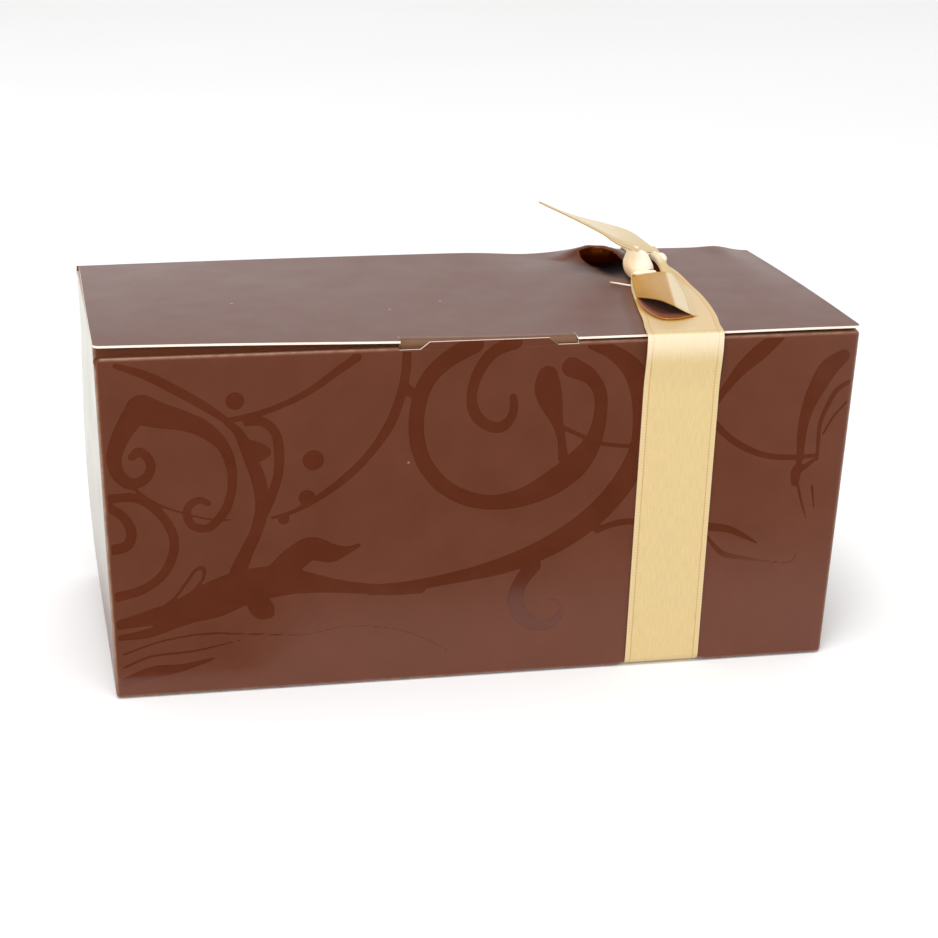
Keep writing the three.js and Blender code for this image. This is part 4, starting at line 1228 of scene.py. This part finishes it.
class GiftBoxBand(Undoable, bpy.types.Operator):
    """Build the ribbon that runs round the box"""

    bl_idname = "gift_box.band"
    bl_label = "Ribbon round the box"

    def execute(self, context):
        box = Box()
        band = Band(box)
        us = np.linspace(-1, 1, 25)
        rows = [band.row(n, t, us) for n, (steps, _, _) in enumerate(band.runs)
                for t in spread(0, 1, steps)[min(n, 1):]]
        piece = ribbon_sheet("ribbon_band", rows, box.ribbon_width, satin_pair())
        points = np.concatenate(rows)
        y, z = points[:, 1], points[:, 2]
        # Painted highlight where the band bends over the top front fold and runs a little way down.
        at_fold = smooth(70.95, 70.6, z) * smooth(64.5, 70.0, z) * (y < -34)
        make_ribbon(piece, box.ribbon_thick, 50, drawn=0.55 * at_fold, shade=self.shade_mask(points))
        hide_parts("ribbon")
        return {"FINISHED"}

    @staticmethod
    def shade_mask(points):
        """Painted shade on the band: a golden shadow just outside the lower layer of the front tail, and a
        light golden shade over its run on the lid.
        """
        edge = smooth_curve(LOWER_EDGE, np.linspace(0, 1, 80))
        away = np.linalg.norm(points[:, None, :2] - edge[None], axis=2).min(axis=1)
        y, on_top = points[:, 1], points[:, 2] > 69.0
        near = smooth(1.6, 0.3, away) * smooth(-9.0, -13.0, y)
        on_lid = smooth(-35.4, -34.4, y) * smooth(8.0, 4.0, y)
        return np.maximum(0.36 * near, 0.12 * on_lid) * on_top


def net_rows(net, across, along):
    """Rows of points on a smooth surface through a net of points, net[row][column]."""
    net = np.asarray(net, float)
    wide = np.stack([smooth_curve(row, np.linspace(0, 1, across)) for row in net])
    rows = smooth_curve(wide.reshape(len(net), -1), np.linspace(0, 1, along))
    return list(rows.reshape(along, across, 3))


def roll_rows(curve, half_width, half_height, around, along):
    """Rows of a soft roll along a curve, closed at both ends."""
    t = (1 - np.cos(np.linspace(0, math.pi, along))) / 2
    line = smooth_curve(curve, t)
    ahead = smooth_curve(curve, np.clip(t + 0.01, 0, 1)) - smooth_curve(curve, np.clip(t - 0.01, 0, 1))
    ahead /= np.linalg.norm(ahead, axis=1)[:, None]
    side = np.cross(ahead, [0, 0, 1.0])
    side /= np.linalg.norm(side, axis=1)[:, None]
    top = np.cross(side, ahead)
    swell = np.sqrt(np.maximum(0, 1 - (2 * t - 1) ** 4))
    turn = np.linspace(0, 2 * math.pi, around, endpoint=False)
    wide, high = (np.outer(swell * size, wave) for size, wave in
                  ((half_width, np.cos(turn)), (half_height, np.sin(turn))))
    return line[:, None] + wide[..., None] * side[:, None] + high[..., None] * top[:, None]


def roll_piece(name, curve, half_width, half_height, material, around=40, along=48, shade=0.0):
    rows = roll_rows(curve, half_width, half_height, around, along)
    woven = np.empty(rows.shape)
    woven[..., 0] = 1.6 + 9.0 * np.abs(np.linspace(-1, 1, around, endpoint=False))[None, :]
    woven[..., 1] = path_lengths(rows.mean(axis=1))[:, None]
    woven[..., 2] = USUAL_WIDTH
    points = np.vstack([rows[1:-1].reshape(-1, 3), rows[0].mean(axis=0), rows[-1].mean(axis=0)])
    marks = np.vstack([woven[1:-1].reshape(-1, 3), woven[0, 0], woven[-1, 0]])
    faces = [f[::-1] for f in grid_faces(along - 2, around, wrapped=True)]
    last_row = (along - 3) * around
    first, last = last_row + around, last_row + around + 1
    for c in range(around):
        d = (c + 1) % around
        faces += [(first, d, c), (last, last_row + c, last_row + d)]
    piece = new_piece(name, points, faces, [material], woven=marks)
    give_mask(piece, "shade", np.full(len(points), shade))
    # Painted highlight: every roll is pale all over.
    give_mask(piece, "drawn", np.full(len(points), 1.0))
    return piece


class GiftBoxKnot(Undoable, bpy.types.Operator):
    """Build the knot: the wide turn over its middle, the lobe to its right, and the rolls inside"""

    bl_idname = "gift_box.knot"
    bl_label = "Knot"

    # Nets of points from the middle of the knot. Each row runs across a turn, from left to right, and
    # the rows go from the front over the top to the back.
    WIDE_TURN = [
        [(-4.2, -5.6, -2.0), (-4.8, -6.5, -1.6), (-4.5, -7.3, -0.9), (-3.3, -7.5, -0.2), (-1.9, -7.6, 0.1),
         (-0.5, -7.0, 0.2), (0.1, -6.0, -0.3), (0.0, -5.4, -1.1)],
        [(-4.8, -4.4, -1.7), (-5.7, -5.0, -0.4), (-5.1, -6.3, 0.5), (-3.6, -6.9, 0.5), (-2.1, -7.2, 1.0),
         (-0.6, -6.6, 1.1), (0.1, -5.4, 0.4), (-0.1, -4.6, -0.8)],
        [(-4.7, -2.8, -0.9), (-5.7, -3.4, 0.9), (-4.8, -4.8, 1.8), (-3.2, -5.2, 1.4), (-2.0, -5.6, 2.2),
         (-0.8, -5.2, 2.0), (-0.1, -4.2, 1.2), (-0.3, -3.4, -0.1)],
        [(-3.8, -0.6, 0.3), (-4.6, -1.0, 1.9), (-3.7, -2.2, 2.5), (-2.4, -2.6, 2.0), (-1.4, -2.9, 2.6),
         (-0.5, -2.6, 2.3), (0.2, -2.0, 1.5), (0.1, -1.5, 0.3)],
        [(-2.7, 2.2, 0.7), (-3.3, 2.0, 2.0), (-2.5, 1.4, 2.2), (-1.5, 1.2, 1.9), (-0.8, 1.2, 2.2),
         (0.0, 1.2, 2.0), (0.8, 1.4, 1.4), (0.9, 1.6, 0.4)],
        [(-2.0, 4.6, -0.4), (-2.3, 4.9, 0.5), (-1.5, 5.2, 0.9), (-0.6, 5.4, 0.8), (0.2, 5.5, 0.9),
         (1.0, 5.3, 0.8), (1.6, 4.9, 0.4), (1.8, 4.5, -0.4)],
        [(-1.6, 6.0, -1.6), (-1.6, 6.4, -1.2), (-0.9, 6.8, -1.0), (-0.2, 6.9, -1.0), (0.5, 6.9, -1.0),
         (1.1, 6.8, -1.0), (1.7, 6.3, -1.2), (1.9, 5.9, -1.6)],
    ]
    RIGHT_TURN = [
        [(2.3, -6.6, -1.7), (2.9, -6.8, -1.4), (3.8, -6.8, -1.4), (4.7, -6.3, -1.5), (5.1, -5.8, -1.8)],
        [(2.1, -4.4, -1.5), (2.5, -4.6, -0.7), (3.4, -4.6, -0.5), (4.4, -4.0, -0.8), (4.9, -3.4, -1.5)],
        [(2.2, -2.2, -1.0), (2.6, -2.3, 0.1), (3.3, -2.3, 0.4), (4.1, -1.9, 0.1), (4.6, -1.4, -0.8)],
        [(2.3, 0.4, -0.4), (2.5, 0.3, 0.9), (3.1, 0.3, 1.3), (3.8, 0.5, 0.9), (4.3, 0.9, -0.2)],
        [(2.0, 3.0, -0.4), (2.2, 3.1, 0.9), (2.8, 3.2, 1.3), (3.6, 3.3, 0.9), (4.0, 3.5, -0.4)],
        [(1.8, 5.2, -1.4), (1.9, 5.6, -0.8), (2.3, 5.9, -0.7), (2.9, 5.7, -1.0), (3.2, 5.3, -1.6)],
    ]
    # Each roll: its curve, half width, half height and painted shade. Every roll is pale with painted
    # highlight; the core's full painted shade darkens the slot beside the wide turn.
    ROLLS = {
        "knot_core": ([(-1.0, -5.4, -1.5), (0.6, 0, -0.9), (0.8, 6, -1.0)], 3.2, 1.0, 1.0),
        "knot_lip": ([(-4.8, -7.8, -0.5), (-2.4, -8.4, -0.25), (0.2, -8.1, -0.15)], 0.65, 0.56, 0.0),
        "knot_lobe": ([(3.2, 2.0, 0.7), (3.9, 0.4, 0.9), (4.2, -1.2, 0.2)], 0.75, 0.85, 0.0),
        "knot_glint": ([(-2.6, 2.2, 2.0), (-1.7, 2.7, 2.45), (-0.7, 3.1, 2.2)], 0.8, 0.5, 0.0),
    }

    def execute(self, context):
        box = Box()
        face, reverse = satin_pair()
        across = np.tile(np.linspace(0, 1, 48), 72)
        along = np.repeat(np.linspace(0, 1, 72), 48)
        left, back = smooth(0.55, 0.25, across), smooth(0.5, 0.8, along)
        # Painted highlight and painted shade on the turns: the wide turn is pale, less so at its left, and
        # darker at its left and back; the right turn is pale towards its back, with a little shade all over.
        for name, net, drawn, shade in (
                ("knot_wide_turn", self.WIDE_TURN, 1.0 - 0.5 * left, 0.13 * left + 0.08 * back),
                ("knot_right_turn", self.RIGHT_TURN, 0.7 * smooth(0.3, 0.6, along), 0.06 * (along < 2))):
            rows = net_rows(np.array(net) + KNOT, 48, 72)
            turn = ribbon_sheet(name, rows, 12.0, [reverse, face], selvedge=False)
            make_ribbon(turn, box.ribbon_thick, 60, shade=shade, drawn=drawn)
        for name, (curve, wide, high, shade) in self.ROLLS.items():
            as_ribbon(roll_piece(name, np.array(curve) + KNOT, wide, high, face, shade=shade))
        return {"FINISHED"}


class GiftBoxTails(Undoable, bpy.types.Operator):
    """Build the two tails of the ribbon: one arched over the band in front, one standing up behind"""

    bl_idname = "gift_box.tails"
    bl_label = "Ribbon tails"

    # Rows across the front tail, from its left edge over the crease to its right edge: at the knot,
    # half way, and along its slanted cut end.
    LEFT_FACET = [
        [(39.6, 5.6, 71.75), (41.7, 4.7, 72.55), (44.4, 4.3, 72.75), (46.6, 3.9, 72.75)],
        [(37.8, -3.0, 71.75), (39.6, -5.6, 72.75), (41.2, -9.0, 73.2), (42.8, -12.0, 73.2)],
        [(36.1, -11.2, 71.55), (36.9, -16.2, 72.65), (38.3, -21.8, 73.5), (40.0, -24.8, 73.2)],
    ]
    RIGHT_FACET = [
        [(46.6, 3.9, 72.75), (47.5, 4.2, 72.4), (48.6, 4.9, 71.9)],
        [(42.8, -12.0, 73.2), (45.0, -10.8, 72.2), (47.3, -10.0, 71.5)],
        [(40.0, -24.8, 73.2), (41.8, -25.5, 72.3), (43.6, -26.2, 71.5)],
    ]

    def execute(self, context):
        box = Box()
        face, reverse = satin_pair()
        # The underside of the front tail gets a dark brown satin that paints the shade inside the tail.
        shaded = satin("satin_in_shade", PAINTED_TAIL_SHADE, 0.7, 0.0, specular=0.15)
        tail = ribbon_sheet("front_tail", self.front_tail(), 13.0, [face, shaded])
        t, u = np.repeat(np.linspace(0, 1, 60), 43), np.tile(np.linspace(0, 1, 43), 60)
        # Painted shade: the left facet of the front tail is darker golden, most towards its cut end, and the
        # right facet a little.
        on_left = smooth(0.70, 0.60, u)
        shade = on_left * (0.29 + 0.05 * t + 0.1 * smooth(0.55, 1.0, t) * smooth(0.6, 0.0, u))
        make_ribbon(tail, box.ribbon_thick * 0.7, 35, shade=shade + 0.05 * (1 - on_left))
        rows, shade = self.lower_tail(box)
        lower = ribbon_sheet("front_tail_lower", rows, 13.0, [face, reverse], selvedge=False)
        give_mask(lower, "shade", shade)
        thicken(lower, 0.12, inside=1)
        as_ribbon(lower)
        tail = ribbon_sheet("back_tail", self.back_tail(), None, [reverse, face])
        make_ribbon(tail, box.ribbon_thick * 0.7, 50)
        return {"FINISHED"}

    def front_tail(self):
        """The upper layer, creased along the middle."""
        left = net_rows(self.LEFT_FACET, 28, 60)
        right = net_rows(self.RIGHT_FACET, 16, 60)
        return [np.vstack([a, b[1:]]) for a, b in zip(left, right)]

    def lower_tail(self, box):
        """The lower layer of the front tail, which lies on the band. Painted shade makes it dark inside the
        tail, less so near its edge.
        """
        edge = smooth_curve(LOWER_EDGE, np.linspace(0, 1, 60))
        root = np.stack([np.linspace(40.6, 47.4, 60), np.linspace(3.0, 2.4, 60)], axis=1)
        rows, shade = [], []
        for t in np.linspace(0, 1, 60) ** 0.8:
            flat = mix(root, edge, t)
            z = box.lid_top(flat[:, 0], flat[:, 1]) + 0.62
            rows.append(np.column_stack([flat, z]))
            from_edge = np.linalg.norm(flat - edge, axis=1)
            shade.append(0.36 + 0.42 * smooth(0.0, 0.5, from_edge) + 0.14 * smooth(1.0, 5.0, from_edge))
        return rows, np.concatenate(shade)

    def back_tail(self):
        """The tail that stands up, between its near and its far edge. Its near edge curls down."""
        us, ts = np.linspace(0, 1, 25)[:, None], np.linspace(0, 1, 80)
        tip = (20.7, 13, 86.5)
        near = smooth_curve([KNOT + (-1.2, 0.6, 2.0), KNOT + (-3.4, 1.0, 3.2), (39.5, 13, 77.0),
                             (37.4, 13, 78.2), (34.9, 13, 79.7), (28.8, 13, 82.7), tip], ts)
        far = smooth_curve([KNOT + (4.2, 4.6, 0.9), (47.0, 20.6, 75.2), (44.4, 25.2, 76.8),
                            (40.2, 26.4, 78.1), (33.0, 21, 80.9), (27.2, 16, 83.5),
                            np.add(tip, (0.2, 0.3, 0.05))], ts)
        rows = [mix(a[None, :], b[None, :], us) for a, b in zip(near, far)]
        for row in rows:
            wide = np.linalg.norm(row[-1] - row[0])
            row += smooth(0.16, 0.0, us) * np.array([-0.02, -0.05, -0.035]) * wide
        return rows


class GiftBoxThread(Undoable, bpy.types.Operator):
    """Build the loose thread of the ribbon's edge that lies on the lid"""

    bl_idname = "gift_box.thread"
    bl_label = "Loose thread"

    def execute(self, context):
        box = Box()
        spots = [(39.4, -0.6), (37.2, 1.6), (34.5, 4.4)]
        curve = [(x, y, float(box.lid_top(x, y)) + 0.26) for x, y in spots]
        thread = roll_piece("loose_thread", curve, 0.2, 0.2, satin_pair()[0], around=12, along=24)
        as_ribbon(thread)
        return {"FINISHED"}


# ------------------------------------------------------------------ floor, light and camera


class GiftBoxStage(Undoable, bpy.types.Operator):
    """Set up the pale floor, the soft studio light and the camera"""

    bl_idname = "gift_box.stage"
    bl_label = "Floor, light and camera"

    def execute(self, context):
        settings = context.scene.gift_box_stage
        self.floor()
        self.sky(context.scene, settings.sky)
        self.light("overhead", (-0.15, -0.40, 1.25), (0.0, 0.0, 0.06), 0.55, settings.key)
        fill = self.light("front_fill", (-0.75, -1.45, 0.55), (0.0, 0.0, 0.03), 0.9, settings.fill)
        fill.visible_glossy = False
        self.cards()
        self.camera(context.scene, settings.lens)
        context.scene.view_settings.view_transform = "Standard"
        context.scene.view_settings.look = "None"
        return {"FINISHED"}

    def floor(self):
        material, n, shader = start_material("floor_paper")
        where = n.add("TexCoord").outputs["Object"]
        soft = n.ramp(n.noise(where, 3.0, 2.0), 0.3, 0.7)
        n.set(shader.inputs["Base Color"], n.blend(soft, (0.93, 0.93, 0.925, 1), (0.95, 0.95, 0.95, 1)))
        shader.inputs["Roughness"].default_value = 0.9
        far, below = 4000.0, -0.2
        corners = [(-far, -far, below), (far, -far, below), (far, far, below), (-far, far, below)]
        floor = new_piece("floor", corners, [(0, 1, 2, 3)], [material])

    def cards(self):
        """Cards that only glossy surfaces see: dark ones in front, on the floor and upright, which the
        front wall mirrors, and a bright one on the floor to the left, which the end wall mirrors."""
        floor_front = [(-1200, -40, 1), (-1200, -1250, 1), (420, -1250, 1), (205, -330, 1),
                       (104, -82, 1), (0, -66, 1), (-30, -66, 1), (-44, -40, 1)]
        upright = [(-1200, -1250, 0), (-1200, -1250, 1100), (300, -1250, 1100), (300, -1250, 0)]
        left = [(-88, -60, 1), (-88, 900, 1), (-900, 900, 1), (-900, -60, 1)]
        for name, corners, glow in (("dark_floor_card", floor_front, 0.02),
                                    ("dark_upright_card", upright, 0.05), ("bright_card", left, 2.6)):
            material = bpy.data.materials.new(name)
            material.use_nodes = True
            material.node_tree.nodes.clear()
            n = Nodes(material.node_tree)
            emission = n.add("Emission", {"Color": (0.94, 1.0, 0.95, 1), "Strength": glow})
            n.set(n.add("OutputMaterial").inputs["Surface"], emission.outputs[0])
            card = new_piece(name, corners, [tuple(range(len(corners)))], [material])
            card.visible_camera = card.visible_diffuse = card.visible_shadow = False
            card.visible_transmission = card.visible_volume_scatter = False

    def sky(self, scene, strength):
        """White surroundings, brighter low at the back, where the lid mirrors them."""
        world = bpy.data.worlds.new("studio")
        world.use_nodes = True
        n = Nodes(world.node_tree)
        split = n.add("SeparateXYZ", {0: n.add("TexCoord").outputs["Generated"]}).outputs
        behind = n.ramp(split[1], 0.3, 0.9)
        low = n.ramp(split[2], 0.40, 0.05)
        glow = n.math("MULTIPLY", n.math("MULTIPLY", behind, low), 1.1)
        back = world.node_tree.nodes["Background"]
        back.inputs["Color"].default_value = (1.0, 1.0, 1.0, 1.0)
        n.set(back.inputs["Strength"], n.math("ADD", glow, strength))
        scene.world = world

    def light(self, name, place_at, aim, size, power):
        data = bpy.data.lights.new(name, "AREA")
        data.shape, data.size, data.energy = "DISK", size, power
        lamp = bpy.data.objects.new(name, data)
        lamp.location = place_at
        lamp.rotation_euler = (Vector(aim) - Vector(place_at)).to_track_quat("-Z", "Y").to_euler()
        bpy.context.scene.collection.objects.link(lamp)
        return lamp

    def camera(self, scene, lens):
        azimuth, elevation, roll, distance = -12.15, 18.90, 1.23, 477.2
        a, e, r = (math.radians(v) for v in (azimuth, elevation, roll))
        back = Vector((math.sin(a) * math.cos(e), -math.cos(a) * math.cos(e), math.sin(e)))
        side = Vector((0, 0, 1)).cross(back).normalized()
        up = back.cross(side)
        turned_side = math.cos(r) * side + math.sin(r) * up
        turned_up = -math.sin(r) * side + math.cos(r) * up
        data = bpy.data.cameras.new("photo")
        data.lens, data.sensor_width, data.clip_start = lens, 36.0, 0.01
        camera = bpy.data.objects.new("photo", data)
        turn = Matrix((turned_side, turned_up, back)).transposed().to_4x4()
        where = (Vector((4.13, 0.0, 32.33)) + back * distance) * MM
        camera.matrix_world = Matrix.Translation(where) @ turn
        scene.collection.objects.link(camera)
        scene.camera = camera


# ------------------------------------------------------------------ sidebar and registration


PIECES = (GiftBoxWalls, GiftBoxLip, GiftBoxLid, GiftBoxVarnish, GiftBoxBand, GiftBoxKnot, GiftBoxTails,
          GiftBoxThread, GiftBoxStage)


class GiftBoxPanel(bpy.types.Panel):
    """Sizes, colours and the buttons that build the pieces"""

    bl_idname = "VIEW3D_PT_gift_box"
    bl_label = "Gift box"
    bl_space_type = "VIEW_3D"
    bl_region_type = "UI"
    bl_category = "Gift box"

    def draw(self, context):
        scene = context.scene
        for title, group in (("Carton", scene.gift_box_sizes), ("Ribbon", scene.gift_box_ribbon),
                             ("Colours", scene.gift_box_colours), ("Stage", scene.gift_box_stage)):
            part = self.layout.box()
            part.label(text=title)
            for key in group.__annotations__:
                part.prop(group, key)
        for operator in PIECES:
            self.layout.operator(operator.bl_idname)


GROUPS = {"gift_box_sizes": BoxSizes, "gift_box_ribbon": RibbonSizes, "gift_box_colours": Colours,
          "gift_box_stage": StageSettings}


def register():
    for kind in (*GROUPS.values(), *PIECES, GiftBoxPanel):
        bpy.utils.register_class(kind)
    for name, group in GROUPS.items():
        setattr(bpy.types.Scene, name, PointerProperty(type=group))


def unregister():
    for name in GROUPS:
        delattr(bpy.types.Scene, name)
    for kind in (GiftBoxPanel, *reversed(PIECES), *reversed(GROUPS.values())):
        bpy.utils.unregister_class(kind)


def main():
    register()
    bpy.ops.gift_box.walls()
    bpy.ops.gift_box.lip()
    bpy.ops.gift_box.lid()
    bpy.ops.gift_box.varnish()
    bpy.ops.gift_box.band()
    bpy.ops.gift_box.knot()
    bpy.ops.gift_box.tails()
    bpy.ops.gift_box.thread()
    bpy.ops.gift_box.stage()


if __name__ == "__main__":
    main()
